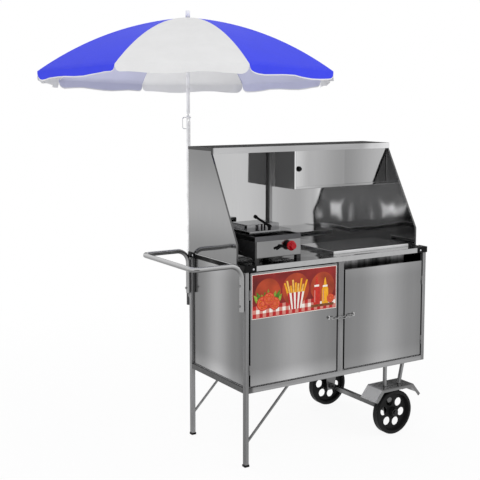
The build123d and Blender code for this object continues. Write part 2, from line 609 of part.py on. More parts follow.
for share, radius in ((0, PRESS_HANDLE_RADIUS * 1.2), (stem_share, PRESS_HANDLE_RADIUS * 0.7)):
    top = grip_front + (grip_rear - grip_front) * share
    grip += prism((top.X, top.Y, press_high), top, radius, HANDLE_SIDES)
nodes["press_handle"] = grip

valve_y = front_skin_y - VALVE_DEPTH
valve = rod((knob_x, valve_y, knob_z), (knob_x, front_skin_y, knob_z), VALVE_RADIUS)
valve += rod((knob_x, valve_y - KNOB_DEPTH / 2, knob_z), (knob_x, valve_y, knob_z), VALVE_STEM_RADIUS)
burner_y = (GRIDDLE_FRONT + g_rear) / 2
valve += rod((knob_x, front_skin_y, knob_z), (knob_x, burner_y, knob_z), BURNER_RADIUS)
side_gap = GRIDDLE_WALL + RUNNING_FIT
burner_end = g_right - side_gap
valve += rod((GRIDDLE_LEFT + side_gap, burner_y, knob_z), (burner_end, burner_y, knob_z), BURNER_RADIUS)
inlet_y = front_skin_y - INLET_REACH
valve += rod((inlet_x, front_skin_y, knob_z), (inlet_x, burner_y, knob_z), INLET_RADIUS)
valve += prism((inlet_x, inlet_y, knob_z), (inlet_x, front_skin_y, knob_z), INLET_RADIUS, HANDLE_SIDES)
tail_start = Vector(inlet_x, inlet_y + HOSE_TAIL_RADIUS, knob_z)
tail_way = Vector(-HOSE_TAIL, 0, -HOSE_TAIL_DROP)
valve += prism(tail_start, tail_start + tail_way, HOSE_TAIL_RADIUS, HANDLE_SIDES)
for share in (0.55, 0.8):
    barb = tail_start + tail_way * share
    valve += prism(barb, barb + tail_way * 0.15, HOSE_TAIL_RADIUS + HOSE_BARB, HANDLE_SIDES)
nodes["gas_valve"] = valve
skirt = KNOB_DEPTH * 0.3
knob = rod((0, 0, 0), (0, skirt, 0), KNOB_RADIUS)
flutes = []
for turn in range(2 * KNOB_FLUTES):
    reach = KNOB_RADIUS * (0.68 if turn % 2 else 0.82)
    angle = pi * turn / KNOB_FLUTES
    flutes.append((reach * cos(angle), reach * sin(angle)))
grip_face = Plane(origin=(0, skirt, 0), z_dir=(0, 1, 0)) * make_face(Polyline(*flutes, close=True))
knob += extrude(grip_face, amount=KNOB_DEPTH - skirt, taper=KNOB_TAPER)
knob -= Rot(90, 0, 0) * Cylinder(VALVE_STEM_RADIUS + RUNNING_FIT, KNOB_DEPTH + 2 * RUNNING_FIT)
nodes["gas_knob"] = Pos(knob_x, valve_y - RUNNING_FIT, knob_z) * Rot(0, 0, 180) * knob

# Food warmer: a water pan with a hot plate burner under it and a loose lid
pan_bottom = COUNTER_HEIGHT - WARMER_DEPTH
tub = block(warmer_left, warmer_right, WARMER_FROM_FRONT, warmer_rear, pan_bottom, COUNTER_HEIGHT)
tub += block(warmer_left - WARMER_RIM, warmer_right + WARMER_RIM, WARMER_FROM_FRONT - WARMER_RIM,
             warmer_rear + WARMER_RIM, COUNTER_HEIGHT, COUNTER_HEIGHT + SHEET)
nodes["warmer_pan"] = tub - block(warmer_left + SHEET, warmer_right - SHEET, WARMER_FROM_FRONT + SHEET,
                                  warmer_rear - SHEET, pan_bottom + SHEET, COUNTER_HEIGHT + SHEET)
lid_seat = COUNTER_HEIGHT + RUNNING_FIT
lid = block(warmer_left - LID_MARGIN, warmer_right + LID_MARGIN, WARMER_FROM_FRONT - LID_MARGIN,
            warmer_rear + LID_MARGIN, lid_seat, lid_seat + LID_HEIGHT)
nodes["warmer_lid"] = lid - block(warmer_left - LID_MARGIN + SHEET, warmer_right + LID_MARGIN - SHEET,
                                  WARMER_FROM_FRONT - LID_MARGIN + SHEET, warmer_rear + LID_MARGIN - SHEET,
                                  lid_seat, lid_seat + LID_HEIGHT - SHEET)
warm_y = (WARMER_FROM_FRONT + warmer_rear) / 2
warm_z = pan_bottom - BURNER_DROP
strap_reach = 2 * BURNER_RADIUS
warmer_burner = rod((warmer_left, warm_y, warm_z), (warmer_right, warm_y, warm_z), BURNER_RADIUS)
for x in (warmer_left + strap_reach, warmer_right - strap_reach - SHEET):
    strap = block(x, x + SHEET, warm_y - strap_reach, warm_y + strap_reach, warm_z - strap_reach, pan_bottom)
    warmer_burner += strap
nodes["warmer_burner"] = warmer_burner

# Wheels, axle, guards and struts
wheel_front = -WHEEL_PROUD
wheel_mid = wheel_front + WHEEL_WIDTH / 2
rim_edge = WHEEL_WIDTH / 10
rim_inside = WHEEL_RADIUS - WHEEL_RIM
wheel_half = WHEEL_WIDTH / 2
hub_section = [(HUB_RADIUS, WHEEL_WEB / 2), (HUB_RADIUS - WHEEL_DRAFT, wheel_half),
                (AXLE_RADIUS + RUNNING_FIT, wheel_half)]
hub_section += [(radius, -y) for radius, y in reversed(hub_section)]
rim_section = [(rim_inside, WHEEL_WEB / 2), (rim_inside + WHEEL_DRAFT, wheel_half),
               (WHEEL_RADIUS - rim_edge, wheel_half), (WHEEL_RADIUS, wheel_half - rim_edge)]
rim_section += [(radius, -y) for radius, y in reversed(rim_section)]
wheel_profile = make_face(Polyline(*hub_section, *reversed(rim_section), close=True))
wheel = revolve(wheel_profile, Axis.Y)
hole_circle = (HUB_RADIUS + rim_inside) / 2
for step in range(WHEEL_HOLE_COUNT):
    turn = Rot(0, WHEEL_HOLE_TURN + 360 / WHEEL_HOLE_COUNT * step, 0)
    wheel -= turn * Pos(hole_circle, 0, 0) * Rot(90, 0, 0) * Cylinder(WHEEL_HOLE_RADIUS, 2 * WHEEL_WEB)
front_wheel = Pos(WHEEL_X, wheel_mid, WHEEL_RADIUS) * wheel
nodes["front_wheel"] = front_wheel
nodes["rear_wheel"] = mirror_y(front_wheel)

guard_front = wheel_front - GUARD_SHEET * 3
guard_rear = guard_front + GUARD_WIDTH
guard_line = [(-GUARD_TOP / 2 - GUARD_FLARE, GUARD_HEIGHT - GUARD_DROP), (-GUARD_TOP / 2, GUARD_HEIGHT),
              (GUARD_TOP / 2, GUARD_HEIGHT), (GUARD_TOP / 2 + GUARD_FLARE, GUARD_HEIGHT - GUARD_DROP)]


def guard_band(depth):
    """The guard's outline as a bent band of the given depth towards the wheel."""
    shift = depth * tan((atan2(GUARD_DROP, GUARD_FLARE)) / 2)
    end_x = depth * sin(atan2(GUARD_DROP, GUARD_FLARE))
    end_z = depth * cos(atan2(GUARD_DROP, GUARD_FLARE))
    inner = [(guard_line[0][0] + end_x, guard_line[0][1] - end_z),
             (guard_line[1][0] + shift, GUARD_HEIGHT - depth),
             (guard_line[2][0] - shift, GUARD_HEIGHT - depth),
             (guard_line[3][0] - end_x, guard_line[3][1] - end_z)]
    return [(GUARD_X + x, z) for x, z in guard_line + inner[::-1]]


hanger_y = wheel_front + WHEEL_WIDTH + GUARD_SHEET * 5
hanger_half = AXLE_BAR
guard = plate_xz(guard_band(GUARD_SHEET), guard_front, guard_rear)
for y in (guard_front, guard_rear - GUARD_SHEET):
    guard += plate_xz(guard_band(GUARD_FLANGE), y, y + GUARD_SHEET)
hanger = plate_xz([(WHEEL_X - 2 * hanger_half, GUARD_HEIGHT - GUARD_SHEET),
                   (WHEEL_X + 2 * hanger_half, GUARD_HEIGHT - GUARD_SHEET),
                   (WHEEL_X + hanger_half, WHEEL_RADIUS - hanger_half),
                   (WHEEL_X - hanger_half, WHEEL_RADIUS - hanger_half)],
                  hanger_y, hanger_y + HANGER_THICKNESS)
half_bar = AXLE_BAR / 2
guard += hanger - block(WHEEL_X - half_bar, WHEEL_X + half_bar, hanger_y, hanger_y + HANGER_THICKNESS,
                        WHEEL_RADIUS - half_bar, WHEEL_RADIUS + half_bar)
nodes["wheel_guards"] = [guard, mirror_y(guard)]

axle_bar_front = wheel_front + WHEEL_WIDTH + RUNNING_FIT
axle_tip = wheel_front - AXLE_END
axle = block(WHEEL_X - half_bar, WHEEL_X + half_bar, axle_bar_front, CABINET_DEPTH - axle_bar_front,
             WHEEL_RADIUS - half_bar, WHEEL_RADIUS + half_bar)
axle += rod((WHEEL_X, axle_tip, WHEEL_RADIUS), (WHEEL_X, CABINET_DEPTH - axle_tip, WHEEL_RADIUS),
            AXLE_RADIUS)
washer_y = wheel_front - RUNNING_FIT
washer_ends = (WHEEL_X, washer_y - AXLE_END / 2, WHEEL_RADIUS), (WHEEL_X, washer_y, WHEEL_RADIUS)
washer = rod(*washer_ends, AXLE_RADIUS * 1.8) - rod(*washer_ends, AXLE_RADIUS)
nodes["axle"] = [axle, washer, mirror_y(washer)]

strut_x = GUARD_X - GUARD_TOP / 4
strut_y = (FRAME_TUBE - STRUT_WIDTH) / 2
upright_strut = block(strut_x - STRUT_WIDTH / 2, strut_x + STRUT_WIDTH / 2, strut_y, strut_y + STRUT_WIDTH,
                      GUARD_HEIGHT, LOWER_RAIL_BOTTOM)
lean_x = GUARD_X + GUARD_TOP / 4
lean_strut = plate_xz([(lean_x - STRUT_WIDTH, GUARD_HEIGHT), (lean_x, GUARD_HEIGHT),
                       (lean_x + STRUT_LEAN, LOWER_RAIL_BOTTOM),
                       (lean_x + STRUT_LEAN - STRUT_WIDTH, LOWER_RAIL_BOTTOM)],
                      strut_y, strut_y + STRUT_WIDTH)
nodes["axle_struts"] = [upright_strut, lean_strut, mirror_y(upright_strut), mirror_y(lean_strut)]

# Push handle: one bent tube bolted to the left legs
handle_x_post = -HANDLE_RADIUS
handle_points = [(handle_x_post, handle_ends[0], HANDLE_HEIGHT - HANDLE_DROP),
                 (handle_x_post, handle_ends[0], HANDLE_HEIGHT),
                 (-HANDLE_REACH, handle_ends[0], HANDLE_HEIGHT),
                 (-HANDLE_REACH, handle_ends[1], HANDLE_HEIGHT),
                 (handle_x_post, handle_ends[1], HANDLE_HEIGHT),
                 (handle_x_post, handle_ends[1], HANDLE_HEIGHT - HANDLE_DROP)]
handle_bends = [HANDLE_POST_BEND, HANDLE_CORNER_BEND, HANDLE_CORNER_BEND, HANDLE_POST_BEND]
handle_tube = swept(handle_points, handle_bends, HANDLE_RADIUS, HANDLE_SIDES)
handle_tube -= swept(handle_points, handle_bends, HANDLE_RADIUS - TUBE_WALL, HANDLE_SIDES)
nodes["push_handle"] = handle_tube - bolt_holes
head_x = -2 * HANDLE_RADIUS
nodes["handle_bolts"] = [
    prism((head_x - BOLT_HEAD_HEIGHT, y, z), (head_x, y, z), BOLT_HEAD_RADIUS, 6)
    + rod((head_x, y, z), (FRAME_TUBE / 2, y, z), BOLT_RADIUS) for y in handle_ends for z in bolt_heights]

# Umbrella pole, its socket and the tilting knuckle
pole_y = CABINET_DEPTH + POLE_BEHIND
pole_place = Pos(POLE_FROM_LEFT, pole_y, 0) * Rot(0, 0, -UMBRELLA_HEADING)
bore_radius = LOWER_POLE_RADIUS + SOCKET_PLAY
cup_low = POLE_BOTTOM - SOCKET_WALL
arm_half = LOWER_POLE_RADIUS * 0.8


def socket_ring(low, high, floor):
    """A ring or cup round the pole on an arm from the rear left leg."""
    centre = (POLE_FROM_LEFT, pole_y)
    arm = plate_xy([(0, CABINET_DEPTH), (FRAME_TUBE, CABINET_DEPTH), (centre[0] + arm_half, centre[1]),
                    (centre[0] - arm_half, centre[1])], high - SOCKET_RING_HEIGHT / 2, high)
    ring = rod((*centre, low), (*centre, high), bore_radius + SOCKET_WALL) + arm
    return ring - rod((*centre, low + floor), (*centre, high), bore_radius)


ring_low = POLE_BOTTOM + SOCKET_RING_RISE
nodes["umbrella_socket"] = [socket_ring(cup_low, POLE_BOTTOM + SOCKET_CUP, SOCKET_WALL),
                            socket_ring(ring_low, ring_low + SOCKET_RING_HEIGHT, 0)]

fork_floor = TILT_HEIGHT - 2 * KNUCKLE_RADIUS
tongue_half = TONGUE_THICKNESS / 2
ear_inner = tongue_half + TONGUE_PLAY
lower_pole = rod((0, 0, POLE_BOTTOM), (0, 0, fork_floor), LOWER_POLE_RADIUS)
lower_pole -= rod((0, 0, POLE_BOTTOM), (0, 0, fork_floor - LOWER_POLE_RADIUS), LOWER_POLE_RADIUS - POLE_WALL)
ears = rod((0, 0, fork_floor), (0, 0, TILT_HEIGHT), LOWER_POLE_RADIUS)
ears += rod((-LOWER_POLE_RADIUS, 0, TILT_HEIGHT), (LOWER_POLE_RADIUS, 0, TILT_HEIGHT), KNUCKLE_RADIUS)
ears &= rod((0, 0, fork_floor), (0, 0, TILT_HEIGHT + KNUCKLE_RADIUS), LOWER_POLE_RADIUS)
ears -= block(-ear_inner, ear_inner, -LOWER_POLE_RADIUS, LOWER_POLE_RADIUS,
              fork_floor, TILT_HEIGHT + KNUCKLE_RADIUS)
lower_pole += ears
loop_low = TILT_HEIGHT - TILT_LOOP_HEIGHT
pin_end = LOWER_POLE_RADIUS + 2 * TILT_PIN_RADIUS
pin_bend = 4 * TILT_PIN_RADIUS
loop_start = (-LOWER_POLE_RADIUS - TILT_PIN_RADIUS, 0, TILT_HEIGHT)
loop_end = (loop_start[0], 0, loop_low)
tilt_pin = swept([loop_start, (-TILT_LOOP_WIDTH, 0, TILT_HEIGHT), (-TILT_LOOP_WIDTH, 0, loop_low), loop_end],
                 pin_bend, TILT_PIN_RADIUS, WIRE_SIDES)
tilt_pin += rod((pin_end, 0, TILT_HEIGHT), loop_start, TILT_PIN_RADIUS)
tilt_pin += rod(loop_end, (-LOWER_POLE_RADIUS + POLE_WALL, 0, loop_low), TILT_PIN_RADIUS)
pin_bore = rod((pin_end, 0, TILT_HEIGHT), (-pin_end, 0, TILT_HEIGHT), TILT_PIN_RADIUS)
hook_bore = rod((-pin_end, 0, loop_low), (0, 0, loop_low), TILT_PIN_RADIUS)
nodes["lower_pole"] = pole_place * (lower_pole - pin_bore - hook_bore)
nodes["tilt_pin"] = pole_place * tilt_pin

# The head's own frame: its origin on the tilt axis and its Z along the leaning upper pole
head_place = pole_place * Pos(0, 0, TILT_HEIGHT) * Rot(-UMBRELLA_TILT, 0, 0)
tongue_top = 2 * KNUCKLE_RADIUS
tongue = rod((-tongue_half, 0, 0), (tongue_half, 0, 0), KNUCKLE_RADIUS)
tongue += block(-tongue_half, tongue_half, -UPPER_POLE_RADIUS / 2, UPPER_POLE_RADIUS / 2, 0, tongue_top)
upper_pole = rod((0, 0, tongue_top), (0, 0, CROWN_RISE), UPPER_POLE_RADIUS)
upper_pole -= rod((0, 0, tongue_top + UPPER_POLE_RADIUS), (0, 0, CROWN_RISE), UPPER_POLE_RADIUS - POLE_WALL)
upper_pole += tongue
upper_pole -= rod((-tongue_half, 0, 0), (tongue_half, 0, 0), TILT_PIN_RADIUS + RUNNING_FIT)
nodes["upper_pole"] = head_place * upper_pole

# Canopy: eight gores, each curved along its length and straight across, with a hanging valance
half_gore = 180 / RIB_COUNT
gore_scale = cos(radians(half_gore))
crown_place = head_place * Pos(0, 0, CROWN_RISE)
under_top = EYE_RADIUS + RIB_CLEARANCE
rib_drop = RIB_RADIUS + RIB_CLEARANCE
chord_rise = CANOPY_RISE - rib_drop + under_top
chord = hypot(RIB_REACH, chord_rise)
arch = Vector(chord_rise / chord, RIB_REACH / chord) * CANOPY_ARCH


def underside(share):
    """A point on the canopy's underside over a rib, as radius and height; share runs from crown to tip."""
    bulge = 4 * share * (1 - share)
    radius = RIB_PIVOT_RADIUS + (RIB_REACH - RIB_PIVOT_RADIUS) * share + arch.X * bulge
    return radius, under_top - chord_rise * share + arch.Y * bulge


def gore_profile():
    """Cross-section of the cloth in the middle of a gore: the arched top and the hanging valance."""
    start, middle, tip = [(radius * gore_scale, height) for radius, height in map(underside, (0, 0.5, 1))]
    lift = CANOPY_THICKNESS
    lower = ThreePointArc(start, middle, tip)
    upper = ThreePointArc(*[(radius, height + lift) for radius, height in (start, middle, tip)])
    inner = Line(lower @ 0, upper @ 0)
    edge = Polyline(upper @ 1, (tip[0] + lift, tip[1]), (tip[0] + lift, tip[1] - VALANCE),
                    (tip[0], tip[1] - VALANCE), lower @ 1)
    return make_face([inner, upper, edge, lower])


def canopy():
    gore_reach = RIB_REACH + 2 * VALANCE
    half_width = gore_reach * tan(radians(half_gore))
    section = Plane.XZ * gore_profile()
    band = extrude(section, amount=half_width, both=True)
    wedge = plate_xy([(0, 0), (gore_reach, -half_width), (gore_reach, half_width)],
                     -2 * CANOPY_RISE, CANOPY_RISE)
    gore = band & wedge
    fold = underside(1)[1]
    rim = RIB_REACH * gore_scale
    corner = rim * tan(radians(half_gore))
    hem = fold - VALANCE
    half_turn = VALANCE_ROUND * (1 - sqrt(0.5))
    for side in (-1, 1):
        start, middle, end = [(rim - VALANCE, side * (corner - back), hem + rise) for back, rise in
                              ((0, VALANCE_ROUND), (half_turn, half_turn), (VALANCE_ROUND, 0))]
        outer = [(rim - VALANCE, side * (corner + away), hem + rise) for away, rise in
                 ((-VALANCE_ROUND, -VALANCE), (VALANCE, -VALANCE), (VALANCE, VALANCE_ROUND))]
        gap = make_face([ThreePointArc(start, middle, end), Polyline(end, *outer, start)])
        gore -= extrude(gap, amount=2 * VALANCE, dir=(1, 0, 0))
    return [Rot(0, 0, 2 * half_gore * step) * gore for step in range(RIB_COUNT)]


gores = canopy()
nodes["canopy"] = crown_place * (gores[0] + gores[1:])

# Crown with its finial, the runner, the ribs and the stretchers
slot_half = EYE_THICKNESS / 2 + SLOT_PLAY
crown_low = -EYE_RADIUS * 2
crown = rod((0, 0, crown_low), (0, 0, EYE_RADIUS), CROWN_RADIUS)
neck_radius = RIB_PIVOT_RADIUS - EYE_RADIUS - SLOT_PLAY
finial_profile = make_face(Polyline((0, EYE_RADIUS), (neck_radius * 0.6, EYE_RADIUS),
                                    (neck_radius * 0.6, FINIAL_HEIGHT * 0.7),
                                    (neck_radius * 0.3, FINIAL_HEIGHT), (0, FINIAL_HEIGHT), close=True))
crown += revolve(Plane.XZ * finial_profile, Axis.Z)
for step in range(RIB_COUNT):
    around = Rot(0, 0, 2 * half_gore * step + half_gore)
    crown -= around * block(neck_radius, 2 * CROWN_RADIUS, -slot_half, slot_half, crown_low, EYE_RADIUS)
    crown += around * rod((RIB_PIVOT_RADIUS, -slot_half - EYE_RADIUS / 4, 0),
                          (RIB_PIVOT_RADIUS, slot_half + EYE_RADIUS / 4, 0), UMBRELLA_PIN_RADIUS)
crown -= rod((0, 0, crown_low), (0, 0, 0), UPPER_POLE_RADIUS)
nodes["crown"] = crown_place * crown

rib_ends = (0.5, 1 - RIB_TIP_INSET / RIB_REACH)
rib_points = [(radius, height - rib_drop) for radius, height in map(underside, rib_ends)]
rib_arc = ThreePointArc((RIB_PIVOT_RADIUS, 0), *rib_points)
lug_share = asin(STRETCHER_LENGTH / 2 / rib_arc.radius) / asin(
    hypot(rib_points[1][0] - RIB_PIVOT_RADIUS, rib_points[1][1]) / 2 / rib_arc.radius)
lug_seat = rib_arc @ lug_share
lug = (lug_seat.X, lug_seat.Y - LUG_DROP)
RUNNER_PIVOT = 2 * lug[1]


def upright(points, half):
    """A flat plate in the rib's plane, centred on it."""
    return plate([(u, -half, z) for u, z in points], (0, 1, 0), 2 * half)


def strip(start, end, wide):
    """The outline of a straight strip in the rib's plane."""
    return [(point.X, point.Y) for point in (start - wide, start + wide, end + wide, end - wide)]


def pivot(point, radius, half):
    return rod((point[0], -half, point[1]), (point[0], half, point[1]), radius)


def rib():
    """A sprung steel strip on edge, with an eye at the crown and a lug for its stretcher."""
    eye_half = EYE_THICKNESS / 2
    top, foot_line = [ThreePointArc(*[(u, 0, z + side * RIB_RADIUS) for u, z in
                                      ((RIB_PIVOT_RADIUS, 0), *rib_points)]) for side in (1, -1)]
    blade = make_face([top, Line(top @ 1, foot_line @ 1), foot_line, Line(foot_line @ 0, top @ 0)])
    shape = extrude(blade, amount=eye_half, dir=(0, 1, 0), both=True)
    lug_half = EYE_RADIUS * 0.7
    lug_top = lug[1] + LUG_DROP
    shape += upright([(lug[0] - lug_half, lug[1]), (lug[0] + lug_half, lug[1]),
                      (lug[0] + lug_half, lug_top), (lug[0] - lug_half, lug_top)], eye_half)
    for point in ((RIB_PIVOT_RADIUS, 0), lug):
        shape += pivot(point, EYE_RADIUS, eye_half)
        shape -= pivot(point, UMBRELLA_PIN_RADIUS + RUNNING_FIT, eye_half)
    return shape


def stretcher():
    """A stretcher with a riveted fork at the rib and a flat tongue at the runner."""
    along = Vector(RIB_PIVOT_RADIUS - lug[0], RUNNER_PIVOT - lug[1]).normalized()
    across = Vector(-along.Y, along.X)
    eye_half = EYE_THICKNESS / 2
    gap_half = eye_half + FORK_PLAY
    fork_half = gap_half + FORK_PLATE
    start = Vector(*lug) + along * (2 * EYE_RADIUS)
    end = Vector(RIB_PIVOT_RADIUS, RUNNER_PIVOT)
    stop = end - along * (4 * EYE_RADIUS)
    shape = prism((start.X, 0, start.Y), (stop.X, 0, stop.Y), STRETCHER_RADIUS, ROD_SIDES)
    wide = across * STRETCHER_RADIUS
    prong = Vector(*lug) - along * EYE_RADIUS * 0.7
    neck = start + along * EYE_RADIUS
    fork = upright(strip(prong, neck, wide), fork_half)
    fork -= upright(strip(prong - along * EYE_RADIUS, start, wide * 2), gap_half)
    shape += fork + pivot(lug, UMBRELLA_PIN_RADIUS, fork_half)
    return shape + upright(strip(stop - along * EYE_RADIUS, end + along * STRETCHER_RADIUS, wide), eye_half)


one_rib, one_stretcher = rib(), stretcher()
for step in range(RIB_COUNT):
    around = Rot(0, 0, 2 * half_gore * step + half_gore)
    nodes[f"rib_{step + 1}"] = crown_place * around * one_rib
    nodes[f"stretcher_{step + 1}"] = crown_place * around * one_stretcher

runner_top = RUNNER_PIVOT + EYE_RADIUS
runner = rod((0, 0, runner_top - RUNNER_HEIGHT), (0, 0, runner_top), RUNNER_RADIUS)
runner += rod((0, 0, runner_top - 2 * EYE_RADIUS), (0, 0, runner_top), RUNNER_FLANGE)
for step in range(RIB_COUNT):
    around = Rot(0, 0, 2 * half_gore * step + half_gore)
    runner -= around * block(neck_radius + SLOT_PLAY, 2 * RUNNER_FLANGE, -slot_half, slot_half,
                             runner_top - 2 * EYE_RADIUS, runner_top)
runner -= rod((0, 0, runner_top - RUNNER_HEIGHT), (0, 0, runner_top), UPPER_POLE_RADIUS + RUNNER_PLAY)
nodes["runner"] = crown_place * runner

# The part's origin is on the ground under the middle of everything
solids = {name: [piece for item in (made if isinstance(made, list) else [made]) for piece in item.solids()]
          for name, made in nodes.items()}
extent = Compound([piece for pieces in solids.values() for piece in pieces]).bounding_box()
to_origin = Pos(-extent.center().X, -extent.center().Y, -extent.min.Z)
if __name__ == "__main__":
    os.makedirs("parts", exist_ok=True)
    for name, pieces in solids.items():
        placed = [to_origin * piece for piece in pieces]
        export_step(placed[0] if len(placed) == 1 else Compound(placed), f"parts/{name}.step")
    print(f"{len(solids)} nodes, origin {extent.center().X:.3f} {extent.center().Y:.3f}")
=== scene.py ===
import json
from math import atan2, cos, hypot, pi, radians, sin, sqrt, tan

import bmesh
import bpy
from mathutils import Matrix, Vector


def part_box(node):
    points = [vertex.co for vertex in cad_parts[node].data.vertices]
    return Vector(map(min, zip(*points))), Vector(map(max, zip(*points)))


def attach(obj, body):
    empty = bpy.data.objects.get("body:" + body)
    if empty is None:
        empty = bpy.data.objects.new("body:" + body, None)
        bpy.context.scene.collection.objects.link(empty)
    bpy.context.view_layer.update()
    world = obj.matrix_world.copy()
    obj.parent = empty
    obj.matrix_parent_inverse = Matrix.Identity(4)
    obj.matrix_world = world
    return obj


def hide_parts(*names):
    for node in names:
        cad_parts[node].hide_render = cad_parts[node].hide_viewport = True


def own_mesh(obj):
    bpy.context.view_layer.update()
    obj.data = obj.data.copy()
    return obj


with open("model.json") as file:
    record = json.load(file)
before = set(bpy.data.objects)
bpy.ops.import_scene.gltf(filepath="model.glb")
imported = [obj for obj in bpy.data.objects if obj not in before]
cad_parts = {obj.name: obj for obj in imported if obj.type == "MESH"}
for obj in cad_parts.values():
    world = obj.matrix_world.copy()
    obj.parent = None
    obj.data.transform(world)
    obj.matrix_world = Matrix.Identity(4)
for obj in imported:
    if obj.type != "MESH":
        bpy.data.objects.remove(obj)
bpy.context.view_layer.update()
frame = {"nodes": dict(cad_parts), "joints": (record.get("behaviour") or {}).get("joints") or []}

scene = bpy.context.scene
scene.view_settings.view_transform = "Standard"

# The view: the cart is seen from its front left, from standing eye height, through a long lens. Distances
# run from the cabinet's front left corner on the ground, just inside the worktop's folded skirt.
SKIRT_SHEET = 0.0015
CAMERA_LEFT, CAMERA_FRONT, CAMERA_HEIGHT = 2.1344, 3.3581, 1.6214
CAMERA_YAW, CAMERA_PITCH = radians(32.114), radians(-6.146)
SENSOR_WIDTH, LENS_LENGTH = 36.0, 69.91
SHIFT_PIXELS, PICTURE_PIXELS = -40, 480
worktop_low, worktop_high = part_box("worktop")
corner = Vector((worktop_low.x + SKIRT_SHEET, worktop_low.y + SKIRT_SHEET, 0))


def place_in_scene(name, data):
    """An object of the scene, made from its data."""
    thing = bpy.data.objects.new(name, data)
    scene.collection.objects.link(thing)
    return thing


view = bpy.data.cameras.new("view")
view.sensor_width = SENSOR_WIDTH
view.lens = LENS_LENGTH
view.shift_y = SHIFT_PIXELS / PICTURE_PIXELS
camera = place_in_scene("view", view)
camera.location = corner + Vector((-CAMERA_LEFT, -CAMERA_FRONT, CAMERA_HEIGHT))
camera.rotation_euler = (pi / 2 + CAMERA_PITCH, 0, -CAMERA_YAW)
scene.camera = camera

# The studio: a white floor that keeps a soft shadow near the cart and fades into the white surround,
# four soft lamps, and two dark cards that only mirrors show, as hung in a studio beside bright steel.
FLOOR_HALF, FLOOR_DROP, FLOOR_WHITE = 14.0, 0.0005, 0.9
NEAR_GLOW, FADE_START, FADE_END = 0.91, 1.3, 3.0
AMBIENT = 0.84
WHITE = (1, 1, 1, 1)


def new_material(name):
    """A material with its node tree and its main shader."""
    material = bpy.data.materials.new(name)
    material.use_nodes = True
    return material, material.node_tree, material.node_tree.nodes["Principled BSDF"]


def fill(tree, node, **inputs):
    """Sets a node's inputs to values, or links them to sockets or to the first output of other nodes;
    i0, i1 and so on are inputs by number."""
    for key, value in inputs.items():
        socket = node.inputs[int(key[1:]) if key[1:].isdigit() else key.replace("_", " ")]
        if isinstance(value, bpy.types.Node):
            value = value.outputs[0]
        if isinstance(value, bpy.types.NodeSocket):
            tree.links.new(value, socket)
        else:
            socket.default_value = value
    return node


def add_node(tree, kind, settings=None, **inputs):
    """A new node with its settings and inputs."""
    node = tree.nodes.new(kind)
    for key, value in (settings or {}).items():
        setattr(node, key, value)
    return fill(tree, node, **inputs)


def work_out(tree, operation, *values):
    """The result of a sum on numbers and sockets."""
    node = add_node(tree, "ShaderNodeMath", {"operation": operation})
    return fill(tree, node, **{f"i{at}": value for at, value in enumerate(values)}).outputs[0]


def ranged(tree, value, start, end, first, last, ease="LINEAR"):
    """What goes from first to last while a value goes from start to end."""
    return add_node(tree, "ShaderNodeMapRange", {"interpolation_type": ease}, Value=value,
                    i1=start, i2=end, i3=first, i4=last).outputs[0]


def backdrop(name, corners, material):
    """Flat sheets of the studio, four corners to each."""
    mesh = bpy.data.meshes.new(name)
    mesh.from_pydata(corners, [], [tuple(range(at, at + 4)) for at in range(0, len(corners), 4)])
    mesh.materials.append(material)
    sheet = place_in_scene(name, mesh)
    return sheet


def seen_directly(tree):
    """1 for rays that come straight from the camera or off a mirror, 0 for light on its way."""
    path = add_node(tree, "ShaderNodeLightPath").outputs
    mirror = work_out(tree, "MAXIMUM", path["Is Glossy Ray"], path["Is Transmission Ray"])
    return work_out(tree, "MAXIMUM", path["Is Camera Ray"], mirror)


floor_paint, tree, shader = new_material("floor_paint")
tree.nodes.remove(shader)
glow = add_node(tree, "ShaderNodeEmission", Color=WHITE, Strength=1.0)
matte = add_node(tree, "ShaderNodeBsdfDiffuse", Color=(FLOOR_WHITE, FLOOR_WHITE, FLOOR_WHITE, 1))
floor_place = add_node(tree, "ShaderNodeTexCoord").outputs["Object"]
away = add_node(tree, "ShaderNodeVectorMath", {"operation": "LENGTH"}, i0=floor_place)
fade = ranged(tree, away.outputs["Value"], FADE_START, FADE_END, NEAR_GLOW, 1.0, "SMOOTHSTEP")
mixed = add_node(tree, "ShaderNodeMixShader", i0=work_out(tree, "MULTIPLY", seen_directly(tree), fade),
                 i1=matte, i2=glow)
fill(tree, tree.nodes["Material Output"], Surface=mixed)
backdrop("studio_floor", [(x * FLOOR_HALF, y * FLOOR_HALF, -FLOOR_DROP)
                          for x, y in ((-1, -1), (1, -1), (1, 1), (-1, 1))], floor_paint)

scene.world = bpy.data.worlds.new("white_surround")
scene.world.use_nodes = True
tree = scene.world.node_tree
ambient = add_node(tree, "ShaderNodeMix", {"data_type": "FLOAT"}, i0=seen_directly(tree), i2=AMBIENT, i3=1.0)
fill(tree, tree.nodes["Background"], Color=WHITE, Strength=ambient)


def soft_lamp(name, place, aim, size, power):
    """A square studio lamp at a place, turned to an aim."""
    lamp = bpy.data.lights.new(name, "AREA")
    lamp.shape = "SQUARE"
    lamp.size = size
    lamp.energy = power
    holder = place_in_scene(name, lamp)
    holder.location = place
    holder.rotation_euler = (Vector(aim) - Vector(place)).to_track_quat("-Z", "Y").to_euler()
    holder.visible_camera = False
    holder.visible_glossy = False


soft_lamp("key_lamp", (-2.6, -3.6, 3.8), (0, -0.2, 0.9), 2.2, 38)
soft_lamp("fill_lamp", (3.2, -3.0, 2.4), (0.2, 0, 0.8), 2.5, 28)
soft_lamp("back_lamp", (0.5, 3.6, 3.2), (0, 0, 1.2), 2.5, 26)
soft_lamp("under_lamp", (-1.0, 0.6, 0.3), (-0.35, 0.25, 2.0), 1.0, 9)


